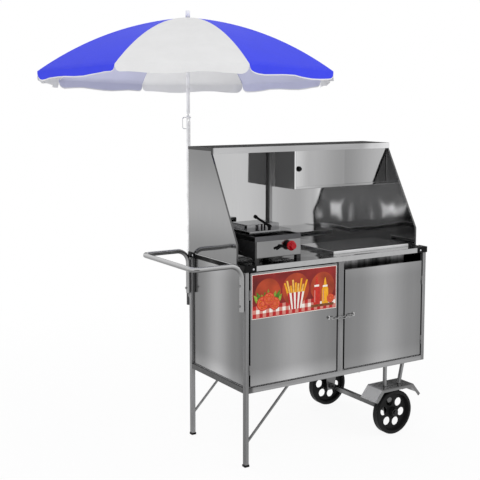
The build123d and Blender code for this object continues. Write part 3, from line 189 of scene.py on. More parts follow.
def dark_flag(name, grey, left, right, low, high, windows=()):
    """An upright grey card that only mirrors show; a window in it is its first and last share of the card's
    length and its lowest and highest height."""
    flag_cloth, tree, shader = new_material(name + "_cloth")
    fill(tree, shader, Base_Color=(grey, grey, grey, 1), Roughness=0.9)
    left, right = Vector(left), Vector(right)
    strips, reached = [], 0
    for first, last, sill, top in windows:
        strips += [(reached, first, low, high), (first, last, low, sill), (first, last, top, high)]
        reached = last
    strips.append((reached, 1, low, high))
    corners = []
    for first, last, foot, head in strips:
        start, end = left.lerp(right, first), left.lerp(right, last)
        corners += [(*start, foot), (*end, foot), (*end, head), (*start, head)]
    card = backdrop(name, corners, flag_cloth)
    for sight in ("camera", "diffuse", "transmission", "shadow", "volume_scatter"):
        setattr(card, "visible_" + sight, False)


FLAG_WINDOWS = ((0.315, 0.38, 0.34, 0.50), (0.465, 0.512, 0.335, 0.52))
dark_flag("rear_flag", 0.07, (0.6, 5.2), (5.4, 2.2), 0.9, 2.3)
dark_flag("camera_flag", 0.12, (-4.6, -3.4), (0.0, -5.6), 0.0, 2.6, FLAG_WINDOWS)

# Tube frame: square stainless tube for legs, posts, rails, braces and struts, welded and ground satin, with
# the door hinges' pins welded to the posts. A dull film on the uprights scatters the light. The uprights
# carry painted shade on their outer and inner faces and a painted highlight on the rear posts; the level
# rails are painted darker on top than at their sides as a painted reflection, and the left rail is painted
# darker as shade.
SATIN = (0.29, 0.29, 0.293)
GRAIN_RELIEF, GRAIN_STRAY = 0.0004, 0.15
CLOUDS_LOW, CLOUDS_HIGH = 0.3, 0.7
TURNED_OUT, TURNED_IN, TURNED_ASIDE = (-0.2, 0.2), (-0.7, -0.3), (0.3, 0.7)
TURNED_DOWN, TURNED_FLAT = (-0.6, 0.5), (0.3, 0.9)
FOLD_RADIUS, FOLD_SEGMENTS, SHORTEST_FOLD = 0.0022, 3, 0.012
CUT_EDGE_RADIUS, THIN_FACE, WELD_GAP = 0.0006, 0.0022, 1e-6
FLAT_ANGLE, SHARP_ANGLE, FOLD_ANGLE = radians(0.5), radians(30), radians(40)


def noise(tree, place, scale, detail, roughness=0.5):
    """Soft random clouds, from 0 to 1."""
    return add_node(tree, "ShaderNodeTexNoise", Vector=place, Scale=scale, Detail=detail,
                    Roughness=roughness).outputs["Fac"]


def strayed(tree, clouds, middle, spread):
    """A value that random clouds move to either side of its middle, by a share of it."""
    return ranged(tree, clouds, CLOUDS_LOW, CLOUDS_HIGH, middle * (1 - spread), middle * (1 + spread))


def stretched(tree, place, scale):
    """Coordinates with a scale of their own along each axis."""
    return add_node(tree, "ShaderNodeMapping", Vector=place, Scale=scale).outputs[0]


def tinted(tree, colour, level):
    """A colour made lighter or darker by a level."""
    return add_node(tree, "ShaderNodeVectorMath", {"operation": "SCALE"}, i0=colour, Scale=level).outputs[0]


def steel_finish(name, colour, roughness, grain, spread, wave=0.0, dents=(5, 5, 5), bands=(), upright_roughness_and_painted_tone=None,
                 sides=None, under=1.0, metal=1.0):
    """Ground or polished steel with a fine grain and a tone that strays by its spread. wave is the rise of
    shallow dents, and dents their number to a metre along each axis; a band is a CAD piece, an axis and the
    tones at shares of its length, which paint reflection and shade along it; upright faces under a
    polished top get a roughness and a tone, a painted reflection that sets them lighter or darker than
    the top; sides is the X midway between two sheets or posts, and the painted shade of their outer sides,
    inner sides and edges; under is the painted shade of faces that look down; metal is below 1 where a dull
    film scatters light."""
    material, tree, shader = new_material(name)
    place = add_node(tree, "ShaderNodeTexCoord").outputs["Object"]
    along = add_node(tree, "ShaderNodeSeparateXYZ", Vector=place).outputs
    normal = add_node(tree, "ShaderNodeNewGeometry").outputs["Normal"]
    facing = add_node(tree, "ShaderNodeSeparateXYZ", Vector=normal).outputs
    streaks = noise(tree, stretched(tree, place, grain), 1.0, 3.0, 0.6)
    clouds = noise(tree, place, 2.3, 1.5, 0.4)
    mottle = work_out(tree, "MULTIPLY_ADD", clouds, 0.5, work_out(tree, "MULTIPLY", streaks, 0.5))
    level = strayed(tree, mottle, 1.0, spread)
    rough = strayed(tree, streaks, roughness, GRAIN_STRAY)
    tones = []
    # Bands of painted reflection and shade along a CAD piece
    for node, axis, stops in bands:
        start, end = [tip["XYZ".index(axis)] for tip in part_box(node)]
        ramp = add_node(tree, "ShaderNodeValToRGB", Fac=ranged(tree, along[axis], start, end, 0.0, 1.0))
        ramp.color_ramp.interpolation = "EASE"
        while len(ramp.color_ramp.elements) < len(stops):
            ramp.color_ramp.elements.new(0.5)
        for stop, (share, grey) in zip(ramp.color_ramp.elements, stops):
            stop.position = share
            stop.color = (grey, grey, grey, 1)
        tones.append(ramp.outputs["Color"])
    # Painted shade on the outer sides, inner sides and edges of two sheets or posts
    if sides:
        middle, outer_painted_shade, inner_painted_shade, edge_painted_shade = sides
        hand = work_out(tree, "SIGN", work_out(tree, "SUBTRACT", along["X"], middle))
        outward = work_out(tree, "MULTIPLY", facing["X"], hand)
        sideways = work_out(tree, "ABSOLUTE", facing["X"])
        tones += [ranged(tree, outward, *TURNED_OUT, 1.0, outer_painted_shade),
                  ranged(tree, outward, *TURNED_IN, inner_painted_shade, 1.0),
                  ranged(tree, sideways, *TURNED_ASIDE, edge_painted_shade, 1.0)]
    # Painted shade on faces that look down
    if under != 1.0:
        tones.append(ranged(tree, facing["Z"], *TURNED_DOWN, under, 1.0))
    # Painted reflection: upright faces get a tone of their own, so a polished top is painted darker or
    # lighter
    if upright_roughness_and_painted_tone:
        upright_roughness, upright_painted_tone = upright_roughness_and_painted_tone
        flat = work_out(tree, "ABSOLUTE", facing["Z"])
        rough = ranged(tree, flat, *TURNED_FLAT, upright_roughness, rough)
        tones.append(ranged(tree, flat, *TURNED_FLAT, upright_painted_tone, 1.0))
    for tone in tones:
        level = work_out(tree, "MULTIPLY", level, tone)
    bump = add_node(tree, "ShaderNodeBump", Height=streaks, Strength=0.05, Distance=GRAIN_RELIEF)
    if wave:
        hollows = noise(tree, stretched(tree, place, dents), 1.0, 1.0)
        shallow = add_node(tree, "ShaderNodeBump", Height=hollows, Strength=1.0, Distance=wave)
        fill(tree, bump, Normal=shallow)
    fill(tree, shader, Base_Color=tinted(tree, colour, level), Roughness=rough, Metallic=metal,
         Normal=bump)
    return material


def middle_of(node):
    """The X half way between a CAD piece's two ends."""
    low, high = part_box(node)
    return (low.x + high.x) / 2


def dress(material, *nodes):
    """Gives CAD pieces their finish."""
    for node in nodes:
        for spot in frame["nodes"][node].material_slots:
            spot.material = material


def finished(shape, name, *materials):
    """A piece of the scene from a mesh in the making."""
    mesh = bpy.data.meshes.new(name)
    shape.to_mesh(mesh)
    shape.free()
    for material in materials:
        mesh.materials.append(material)
    return place_in_scene(name, mesh)


def round_folds(node, body):
    """Stands for a CAD piece of sheet or tube with the small radius that its folds and cut edges have."""
    shape = bmesh.new()
    shape.from_mesh(frame["nodes"][node].data)
    bmesh.ops.remove_doubles(shape, verts=shape.verts, dist=WELD_GAP)
    bmesh.ops.dissolve_limit(shape, angle_limit=FLAT_ANGLE, verts=shape.verts, edges=shape.edges)
    weight = shape.edges.layers.float.new("bevel_weight_edge")
    for face in shape.faces:
        face.smooth = True
    for edge in shape.edges:
        bend = edge.calc_face_angle_signed(0.0)
        if bend > FOLD_ANGLE and edge.calc_length() > SHORTEST_FOLD:
            narrow = min(2 * face.calc_area() / face.calc_perimeter() for face in edge.link_faces)
            edge[weight] = 1.0 if narrow > THIN_FACE else CUT_EDGE_RADIUS / FOLD_RADIUS
        elif abs(bend) > SHARP_ANGLE:
            edge.smooth = False
    piece = finished(shape, node + "_rounded", frame["nodes"][node].material_slots[0].material)
    rounding = piece.modifiers.new("fold_radius", "BEVEL")
    rounding.width = FOLD_RADIUS
    rounding.segments = FOLD_SEGMENTS
    rounding.limit_method = "WEIGHT"
    flat_faces = piece.modifiers.new("flat_faces", "WEIGHTED_NORMAL")
    flat_faces.keep_sharp = True
    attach(piece, body)
    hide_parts(node)


# Painted highlight on the rear posts; the uprights' outer and inner faces get painted shade
rear_post_lighter = ("frame_rails", "Y", ((0.0, 1.0), (0.9, 1.0), (0.95, 1.4), (1.0, 1.4)))
upright_tube = steel_finish("upright_tube", SATIN, 0.42, (75, 75, 2.5), 0.40, bands=[rear_post_lighter],
                            sides=(middle_of("frame_rails"), 0.5, 0.35, 1.0), metal=0.5)
dress(upright_tube, "frame_posts", "leg_braces", "axle_struts", "hinge_pins", "handle_bolts")
# Painted shade on the left rail; the rails' tops are painted darker than their sides as painted reflection
left_rail_darker = ("frame_rails", "X", ((0.0, 0.32), (0.03, 0.32), (0.045, 1.0), (1.0, 1.0)))
level_tube = steel_finish("level_tube", (0.10, 0.10, 0.101), 0.22, (2.5, 75, 75), 0.30,
                          bands=[left_rail_darker], upright_roughness_and_painted_tone=(0.22, 2.9))
dress(level_tube, "frame_rails")
for node in ("frame_posts", "leg_braces", "axle_struts"):
    round_folds(node, "cart")

# Running gear: two guards of bent plate with flanged edges, whose hangers carry a square axle bar, and two
# solid black moulded wheels with six round holes, which turn on the bar's round ends behind washers.
# Painted shade on the axle bar, darker where the wheels and guards stand over it
axle_shade = ("axle", "Y", ((0.0, 0.12), (0.22, 0.16), (0.30, 0.33), (0.55, 0.40), (0.65, 0.62),
                            (0.87, 0.62), (0.90, 0.12), (1.0, 0.12)))
axle_bar = steel_finish("axle_bar", SATIN, 0.25, (75, 2.5, 75), 0.30, bands=[axle_shade])
dress(axle_bar, "axle")
# Painted shade on the guards' end flanges, their hangers, the edge of their top and faces that look down
flange_shade = ("wheel_guards", "Y", ((0.0, 0.40), (0.006, 0.40), (0.008, 1.0), (0.992, 1.0), (0.994, 0.40),
                                      (1.0, 0.40)))
hanger_and_top_shade = ("wheel_guards", "Z", ((0.0, 0.3), (0.58, 0.3), (0.62, 1.0), (0.97, 1.0), (0.98, 0.5),
                                              (1.0, 0.5)))
guard_plate = steel_finish("guard_plate", (0.75, 0.75, 0.753), 0.16, (4, 60, 60), 0.18, wave=0.004,
                           bands=[flange_shade, hanger_and_top_shade], under=0.15)
dress(guard_plate, "wheel_guards")
round_folds("wheel_guards", "cart")


def plastic_finish(name, colour, roughness, grain=900.0, coat=0.0, gloss=0.5):
    """Moulded plastic or paint with a faint grain and small changes of tone and gloss."""
    material, tree, shader = new_material(name)
    place = add_node(tree, "ShaderNodeTexCoord").outputs["Object"]
    speckle = noise(tree, place, grain, 2.0)
    scuff = noise(tree, place, 14.0, 4.0)
    level = strayed(tree, scuff, 1.0, 0.15)
    rough = strayed(tree, scuff, roughness, 0.2)
    bump = add_node(tree, "ShaderNodeBump", Height=speckle, Strength=0.08, Distance=GRAIN_RELIEF)
    fill(tree, shader, Base_Color=tinted(tree, colour, level), Roughness=rough, Normal=bump,
         Specular_IOR_Level=gloss, Coat_Weight=coat, Coat_Roughness=0.08)
    return material


wheel_black = plastic_finish("wheel_black", (0.006, 0.006, 0.0063), 0.5, 500.0, gloss=0.15)
dress(wheel_black, "front_wheel", "rear_wheel")

# Leg feet: black moulded plastic with a fine spark-eroded grain. Each foot is pushed over the end of
# a leg, with a plug up inside the tube.
black_plastic = plastic_finish("black_plastic", (0.005, 0.005, 0.0053), 0.34, gloss=0.07)
dress(black_plastic, "leg_feet")

# Cabinet: side panels and a back of stainless sheet, rolled bright, folded and set in the tube frame, over
# a zinc-plated floor. Each sheet's tone is painted to change from its middle to its edges and toward its
# foot and top, as painted reflection.
SHEET_GREY, SHEET_SPREAD = (0.355, 0.355, 0.358), 0.05
FINE_UPRIGHT = (320, 320, 6)
# Painted shade on sheet lips, and a painted sheen that brightens a sheet toward its foot and its top
LIP_PAINTED_SHADE = 0.22
PAINTED_FOOT_AND_TOP_SHEEN = ((0.0, 1.45), (0.16, 1.0), (0.86, 1.0), (1.0, 1.15))


def dress_sheet(node, *bands, colour=SHEET_GREY, roughness=0.17, wave=0.003, dents=(5, 5, 5),
                outer_painted_shade=None):
    """Gives a sheet a finish of its own, with bands of painted reflection and shade along it; the outer
    shade is the painted shade on the outsides of a pair of sheets, whose lips are painted dark as shade."""
    sides = (middle_of(node), outer_painted_shade, 1.0, LIP_PAINTED_SHADE) if outer_painted_shade else None
    dress(steel_finish(node + "_sheet", colour, roughness, FINE_UPRIGHT, SHEET_SPREAD, wave, dents,
                       [(node, *band) for band in bands], sides=sides), node)


# Bands of painted reflection across the cabinet's sides, up its height and across its back
sides_shade = ("Y", ((0.0, 0.40), (0.16, 0.54), (0.5, 1.0), (0.84, 0.56), (1.0, 0.50)))
back_shade = ("X", ((0.0, 1.0), (0.03, 0.9), (0.45, 1.8), (0.7, 1.5), (0.97, 0.9), (1.0, 1.0)))
dress_sheet("cabinet_panels", sides_shade, ("Z", PAINTED_FOOT_AND_TOP_SHEEN), back_shade)
zinc_floor = steel_finish("zinc_floor", (0.55, 0.55, 0.56), 0.45, (9, 9, 9), 0.15, metal=0.45)
dress(zinc_floor, "cabinet_floor")

# Worktop: a tray of stainless sheet with a folded skirt and a cut-out for the food warmer. It rests on the
# upper rails, and is smooth enough on top to mirror what stands on it. Its dark top and lighter skirt are a
# painted reflection.
# Painted reflection: the top is painted dark and the upright skirt lighter
mirror_sheet = steel_finish("mirror_sheet", (0.15, 0.15, 0.151), 0.07, (40, 40, 40), 0.08, wave=0.003,
                            dents=(8, 14, 8), upright_roughness_and_painted_tone=(0.08, 2.8))
dress(mirror_sheet, "worktop")
round_folds("worktop", "cart")

# Worktop end trims: black strips with rounded edges on the worktop's end skirts, from corner cap to corner
# cap, that keep the lower part of each skirt dark. Only the skirt's folded upper edge shows above them.
TRIM_THICKNESS, TRIM_SEAT, TRIM_EDGE, TRIM_BELOW_TOP, CAP_ARM = 0.0014, 0.0004, 0.0006, 0.0045, 0.061
cap_low, cap_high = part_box("corner_caps")


def quarter_turn(start, steps):
    """Angles along a quarter of a circle."""
    return [start + pi / 2 * step / steps for step in range(steps + 1)]


def closed_skin(shape, rings, flat_steps=()):
    """Joins rings of points by faces, smooth except at the flat steps round a ring, and closes both ends."""
    count = len(rings[0])
    for lower, upper in zip(rings, rings[1:]):
        for step in range(count):
            after = (step + 1) % count
            face = shape.faces.new((lower[step], lower[after], upper[after], upper[step]))
            face.smooth = step not in flat_steps
    shape.faces.new(rings[0])
    shape.faces.new(rings[-1])
    bmesh.ops.recalc_face_normals(shape, faces=shape.faces)


trim_shape = bmesh.new()
trim_foot, trim_head = worktop_low.z, worktop_high.z - TRIM_BELOW_TOP
outline = [(-TRIM_SEAT, trim_foot)]
for edge_height, start in ((trim_foot + TRIM_EDGE, -pi / 2), (trim_head - TRIM_EDGE, 0)):
    for turn in quarter_turn(start, 4):
        outline.append((TRIM_THICKNESS - TRIM_EDGE * (1 - cos(turn)), edge_height + TRIM_EDGE * sin(turn)))
outline.append((-TRIM_SEAT, trim_head))
for side, skirt in ((-1, worktop_low.x), (1, worktop_high.x)):
    trim_ends = [[trim_shape.verts.new((skirt + side * out, y, z)) for out, z in outline]
                 for y in (cap_low.y + CAP_ARM, cap_high.y - CAP_ARM)]
    closed_skin(trim_shape, trim_ends, (0, len(outline) - 2, len(outline) - 1))
worktop_end_trims = finished(trim_shape, "worktop_end_trims", black_plastic)
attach(worktop_end_trims, "cart")

# Corner caps: black moulded plastic round the worktop's corners, each held by two bright pan-head screws
# with a cross recess, one in each of its outer faces.
SCREW_RADIUS, SCREW_RISE, SLOT_SHARE, SCREW_FROM_CORNER = 0.0048, 0.0026, 0.24, 0.045
dress(black_plastic, "corner_caps")


def pattern_tree(name, sizes):
    """A node tree for what repeats, with its sizes as sockets by name and as a modifier's settings."""
    tree = bpy.data.node_groups.new(name, "GeometryNodeTree")
    for in_out in ("INPUT", "OUTPUT"):
        tree.interface.new_socket("Geometry", in_out=in_out, socket_type="NodeSocketGeometry")
    settings = {}
    for size, value in sizes.items():
        socket = tree.interface.new_socket(size, in_out="INPUT", socket_type="NodeSocketFloat")
        socket.default_value = value
        settings[socket.identifier] = value
    tree.nodes.new("NodeGroupOutput")
    return tree, tree.nodes.new("NodeGroupInput").outputs, settings


def stand_on_points(tree, points, shape, material):
    """Puts a shape on every point by its own turn, and ends the tree in one plain mesh."""
    turn = add_node(tree, "GeometryNodeInputNamedAttribute", {"data_type": "FLOAT_VECTOR"}, Name="turn")
    placed = add_node(tree, "GeometryNodeInstanceOnPoints", Points=points, Instance=shape,
                      Rotation=turn.outputs["Attribute"])
    real = add_node(tree, "GeometryNodeRealizeInstances", Geometry=placed)
    coloured = add_node(tree, "GeometryNodeSetMaterial", Geometry=real, Material=material)
    fill(tree, tree.nodes["Group Output"], i0=coloured)


def settled(thing):
    """The final mesh of an object, under the object's name."""
    bpy.context.view_layer.update()
    mesh = bpy.data.meshes.new_from_object(thing.evaluated_get(bpy.context.evaluated_depsgraph_get()))
    mesh.name = thing.name
    return mesh


def patterned(name, places, turns, tree, settings):
    """Runs a node tree on loose points, each with the turn of what stands on it, and keeps the mesh."""
    points = bpy.data.meshes.new(name)
    points.from_pydata(places, [], [])
    turn = points.attributes.new("turn", "FLOAT_VECTOR", "POINT")
    for at, value in enumerate(turns):
        turn.data[at].vector = value
    piece = place_in_scene(name, points)
    modifier = piece.modifiers.new("pattern", "NODES")
    modifier.node_group = tree
    for identifier, value in settings.items():
        modifier[identifier] = value
    made = settled(piece)
    piece.modifiers.remove(modifier)
    piece.data = made
    return piece


bright_zinc = steel_finish("bright_zinc", (0.62, 0.62, 0.64), 0.22, (300, 300, 300), 0.12)
screw_tree, screw_input, screw_sizes = pattern_tree("cap_screw", {"Head Radius": SCREW_RADIUS,
                                                                  "Head Rise": SCREW_RISE})
head_radius, head_rise = screw_input["Head Radius"], screw_input["Head Rise"]
slot_width = work_out(screw_tree, "MULTIPLY", head_radius, SLOT_SHARE)
ball = add_node(screw_tree, "GeometryNodeMeshUVSphere", Segments=20, Rings=10, Radius=1.0)
pressed = add_node(screw_tree, "ShaderNodeCombineXYZ", X=head_radius, Y=head_radius, Z=head_rise)
dome = add_node(screw_tree, "GeometryNodeTransform", Geometry=ball, Scale=pressed)
cross = add_node(screw_tree, "GeometryNodeJoinGeometry")
for long_way, short_way in (("X", "Y"), ("Y", "X")):
    bar_size = {long_way: head_radius, short_way: slot_width, "Z": head_rise}
    size = add_node(screw_tree, "ShaderNodeCombineXYZ", **bar_size)
    bar = add_node(screw_tree, "GeometryNodeMeshCube", Size=size)
    fill(screw_tree, cross, Geometry=bar)
lift = add_node(screw_tree, "ShaderNodeCombineXYZ", Z=head_rise)
lifted = add_node(screw_tree, "GeometryNodeTransform", Geometry=cross, Translation=lift)
recessed = add_node(screw_tree, "GeometryNodeMeshBoolean", {"operation": "DIFFERENCE", "solver": "EXACT"},
                    Mesh_1=dome, Mesh_2=lifted, Self_Intersection=True)
stand_on_points(screw_tree, screw_input["Geometry"], recessed, bright_zinc)

screw_height = (cap_low.z + worktop_high.z) / 2
screw_places, screw_turns = [], []
for y_face, toward_y in ((cap_low.y, 1), (cap_high.y, -1)):
    for x_face, toward_x in ((cap_low.x, 1), (cap_high.x, -1)):
        screw_places.append((x_face + toward_x * SCREW_FROM_CORNER, y_face, screw_height))
        screw_turns.append((pi / 2 * toward_y, 0, 0))
        screw_places.append((x_face, y_face + toward_y * SCREW_FROM_CORNER, screw_height))
        screw_turns.append((0, -pi / 2 * toward_x, 0))
cap_screws = patterned("cap_screws", screw_places, screw_turns, screw_tree, screw_sizes)
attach(cap_screws, "cart")

# Doors: two pans of the same sheet as the cabinet's sides, folded at their edges, each hung on the pins of
# its post by two sleeves. Each door is painted lighter in its middle and toward its foot and top, as painted
# reflection.
# Painted reflection across each door, lighter in its middle, with a weaker painted sheen at the right door's
# foot
PAINTED_MIDDLE_SHEEN = ((0.0, 0.60), (0.14, 0.66), (0.5, 1.0), (0.86, 0.66), (1.0, 0.58))
RIGHT_DOOR_PAINTED_FOOT_SHEEN = 1.15
dress_sheet("left_door", ("X", PAINTED_MIDDLE_SHEEN), ("Z", PAINTED_FOOT_AND_TOP_SHEEN))
dress_sheet("right_door", ("X", PAINTED_MIDDLE_SHEEN), ("Z", ((0.0, RIGHT_DOOR_PAINTED_FOOT_SHEEN), *PAINTED_FOOT_AND_TOP_SHEEN[1:])))
for door in ("left_door", "right_door"):
    round_folds(door, door)

# Latch chain: oval links of bent zinc-plated wire, every second one turned, hung between a staple
# on each door. The two halves part over the centre post, where the real chain unhooks.
LINK_LENGTH, LINK_WIDTH, LINK_WIRE = 0.024, 0.014, 0.0016
LINK_SLACK, LINKS_PER_SIDE, CHAIN_SAG, CHAIN_HEIGHT = 0.0003, 4, 0.009, 0.622
NEARLY_HALF = 0.4999
left_low, left_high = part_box("left_chain")
right_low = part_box("right_chain")[0]
link_pitch = LINK_LENGTH - 4 * LINK_WIRE - LINK_SLACK
chain_middle = (left_high.x + right_low.x) / 2
latch_split = chain_middle - left_high.x
half_span = latch_split + LINK_LENGTH + (LINKS_PER_SIDE - 1) * link_pitch
chain_y, staple_seat = left_low.y + LINK_WIDTH / 2, left_high.y

chain_tree, chain_input, chain_sizes = pattern_tree("latch_chain", {
    "Link Length": LINK_LENGTH, "Link Width": LINK_WIDTH, "Wire Radius": LINK_WIRE})
wire_across = work_out(chain_tree, "MULTIPLY", chain_input["Wire Radius"], 2.0)
link_along = work_out(chain_tree, "SUBTRACT", chain_input["Link Length"], wire_across)
link_across = work_out(chain_tree, "SUBTRACT", chain_input["Link Width"], wire_across)
loop = add_node(chain_tree, "GeometryNodeCurvePrimitiveQuadrilateral", Width=link_along, Height=link_across)
rounded = add_node(chain_tree, "GeometryNodeFilletCurve", {"mode": "POLY"}, Curve=loop, Count=8,
                   Radius=work_out(chain_tree, "MULTIPLY", link_across, NEARLY_HALF))
section = add_node(chain_tree, "GeometryNodeCurvePrimitiveCircle", {"mode": "RADIUS"}, Resolution=12,
                   Radius=chain_input["Wire Radius"])
link = add_node(chain_tree, "GeometryNodeCurveToMesh", Curve=rounded, Profile_Curve=section)
smooth_link = add_node(chain_tree, "GeometryNodeSetShadeSmooth", Geometry=link)
chain_zinc = steel_finish("chain_zinc", (0.40, 0.40, 0.40), 0.25, (60, 60, 60), 0.2)
stand_on_points(chain_tree, chain_input["Geometry"], smooth_link, chain_zinc)


def arc_route(points, bends, steps=10):
    """Points along straight runs whose corners are rounded to their bend radii."""
    route = [Vector(points[0])]
    for before, here, after, bend in zip(points, points[1:], points[2:], bends):
        here = Vector(here)
        back, ahead = (Vector(before) - here).normalized(), (Vector(after) - here).normalized()
        half = back.angle(ahead) / 2
        centre = here + (back + ahead).normalized() * bend / sin(half)
        first, last = here + back * bend / tan(half) - centre, here + ahead * bend / tan(half) - centre
        whole = first.angle(last)
        for step in range(steps + 1):
            share = step / steps
            swung = first * sin((1 - share) * whole) + last * sin(share * whole)
            route.append(centre + swung / sin(whole))
    return route + [Vector(points[-1])]


def bent_tube(name, route, radius):
    """A round tube or wire with closed ends along a route, as a mesh."""
    line = bpy.data.curves.new(name, "CURVE")
    line.dimensions = "3D"
    line.bevel_depth = radius
    line.bevel_resolution = 6
    line.use_fill_caps = True
    spline = line.splines.new("POLY")
    spline.points.add(len(route) - 1)
    for point, place in zip(spline.points, route):
        point.co = (*place, 1)
    helper = place_in_scene(name, line)
    mesh = settled(helper)
    bpy.data.objects.remove(helper)
    for face in mesh.polygons:
        face.use_smooth = len(face.vertices) == 4
    return mesh


def sagging(reach):
    """The chain's height at a distance from its middle."""
    return CHAIN_HEIGHT - CHAIN_SAG * (1 - (reach / half_span) ** 2)


def half_chain(hand, side):
    """One door's half of the chain: its links and its staple; side is -1 on the left and 1 on the right."""
    name = "latch_chain_" + hand
    places, turns = [], []
    reach = latch_split + LINK_LENGTH / 2
    for step in range(LINKS_PER_SIDE):
        slope = atan2(2 * CHAIN_SAG * reach / half_span ** 2, 1)
        turned = (LINKS_PER_SIDE - step) % 2 == 0
        places.append((chain_middle + side * reach, chain_y, sagging(reach)))
        turns.append((pi / 2 if turned else 0, -side * slope, 0))
        last = reach
        reach += link_pitch * cos(slope)
    piece = patterned(name, places, turns, chain_tree, chain_sizes)
    hold = last + LINK_LENGTH / 2 - 3 * LINK_WIRE - LINK_SLACK
    x, low, high = chain_middle + side * hold, sagging(hold) - LINK_WIDTH / 2, sagging(hold) + LINK_WIDTH / 2
    wire = [(x, staple_seat, high), (x, chain_y, high), (x, chain_y, low), (x, staple_seat, low)]
    staple = arc_route(wire, [2 * LINK_WIRE] * 2)
    joined = bmesh.new()
    joined.from_mesh(piece.data)
    joined.from_mesh(bent_tube(name + "_staple", staple, LINK_WIRE))
    joined.to_mesh(piece.data)
    joined.free()
    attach(piece, hand + "_door")
    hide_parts(hand + "_chain")


half_chain("left", -1)
half_chain("right", 1)

# Door sticker: a glossy printed sheet stuck on the left door, in warm food colours. The print shows
# a checked cloth with a box of chips, slices with leaves and two sauce bottles.
STICKER_LEFT, STICKER_RIGHT, STICKER_LOW, STICKER_HIGH = 0.034, 0.499, 0.663, 0.862
PRINT_CLEAR, PRINT_STEP = 0.0003, 0.0001
LEAF_STEPS, LEAF_BULGE, POCKETS, POCKET_TURN = 8, 0.8, 6, 40
FLESH_SHARE, POCKET_PLACE, POCKET_SHARE, SEED_SHARE = 0.86, 0.5, 0.23, 0.08
INK_LOOKS = {"white": ((0.80, 0.76, 0.70), 0.04, 60.0), "field": ((0.20, 0.012, 0.010), 0.45, 9.0),
             "glow": ((0.36, 0.045, 0.014), 0.35, 12.0), "red": ((0.42, 0.010, 0.010), 0.12, 60.0),
             "pink": ((0.58, 0.22, 0.18), 0.10, 40.0), "tomato": ((0.50, 0.022, 0.012), 0.20, 120.0),
             "flesh": ((0.66, 0.12, 0.045), 0.25, 160.0), "leaf": ((0.07, 0.17, 0.012), 0.40, 110.0),
             "pale_leaf": ((0.22, 0.34, 0.035), 0.35, 120.0), "mustard": ((0.78, 0.36, 0.012), 0.15, 90.0),
             "chip": ((0.74, 0.44, 0.10), 0.25, 70.0), "brown": ((0.17, 0.055, 0.014), 0.35, 60.0)}


def print_ink(name, colour, change, scale):
    """A printed colour under a clear gloss film, with the slight mottle of print on steel."""
    material, tree, shader = new_material(name)
    place = add_node(tree, "ShaderNodeTexCoord").outputs["Object"]
    level = strayed(tree, noise(tree, place, scale, 4.0), 1.0, change)
    fill(tree, shader, Base_Color=tinted(tree, colour, level), Roughness=0.3, Specular_IOR_Level=0.2,
         Coat_Weight=0.1, Coat_Roughness=0.1)
    return material


ink_order = list(INK_LOOKS)
inks = [print_ink("print_" + ink, *INK_LOOKS[ink]) for ink in ink_order]
sticker_print = bmesh.new()


def ink_shape(points, ink, layer):
    """A flat printed shape: x to the right and z up from the sticker's lower left corner."""
    y = corner.y - PRINT_CLEAR - layer * PRINT_STEP
    corners = [sticker_print.verts.new((corner.x + STICKER_LEFT + x, y, STICKER_LOW + z)) for x, z in points]
    sticker_print.faces.new(corners).material_index = ink_order.index(ink)


def ink_box(x0, z0, x1, z1, ink, layer):
    """A printed box between two corners."""
    ink_shape([(x0, z0), (x1, z0), (x1, z1), (x0, z1)], ink, layer)


def ink_disc(x, z, radius, ink, layer, sides=28):
    """A printed disc."""
    turns = [2 * pi * step / sides for step in range(sides)]
    ink_shape([(x + radius * cos(turn), z + radius * sin(turn)) for turn in turns], ink, layer)


def ink_leaf(x, z, length, width, lean, ink, layer):
    """A pointed leaf from its stalk, leaning by an angle, widest nearer the stalk."""
    shares = [step / LEAF_STEPS for step in range(LEAF_STEPS + 1)]
    outline = [(share * length, width * sin(pi * share ** LEAF_BULGE)) for share in shares]
    outline += [(u, -v) for u, v in reversed(outline[1:-1])]
    ink_shape([(x + u * cos(lean) - v * sin(lean), z + u * sin(lean) + v * cos(lean)) for u, v in outline],
              ink, layer)


def ink_slice(x, z, radius, layer):
    """A round slice with a skin, flesh and seed pockets."""
    ink_disc(x, z, radius, "tomato", layer, 36)
    ink_disc(x, z, radius * FLESH_SHARE, "flesh", layer + 1, 36)
    for step in range(POCKETS):
        turn = 2 * pi * step / POCKETS + x * POCKET_TURN
        pocket = (x + radius * POCKET_PLACE * cos(turn), z + radius * POCKET_PLACE * sin(turn))
        ink_disc(*pocket, radius * POCKET_SHARE, "tomato", layer + 2, 14)
        ink_disc(*pocket, radius * SEED_SHARE, "mustard", layer + 3, 8)


def ink_bottle(x, z, width, height, ink, layer):
    """A squeeze bottle from its foot, with shoulders, a cap and a pointed nozzle."""
    half, shoulder, neck, cap = width / 2, z + height * 0.56, z + height * 0.64, z + height * 0.71
    ink_shape([(x - half, z), (x + half, z), (x + half, shoulder), (x + half * 0.7, neck),
               (x - half * 0.7, neck), (x - half, shoulder)], ink, layer)
    ink_box(x - half * 0.75, neck, x + half * 0.75, cap, "white", layer)
    ink_shape([(x - half * 0.5, cap), (x + half * 0.5, cap), (x + half * 0.12, z + height),
               (x - half * 0.12, z + height)], ink, layer)
    ink_box(x - half * 0.72, z + height * 0.08, x - half * 0.46, z + height * 0.52, "pink", layer + 1)


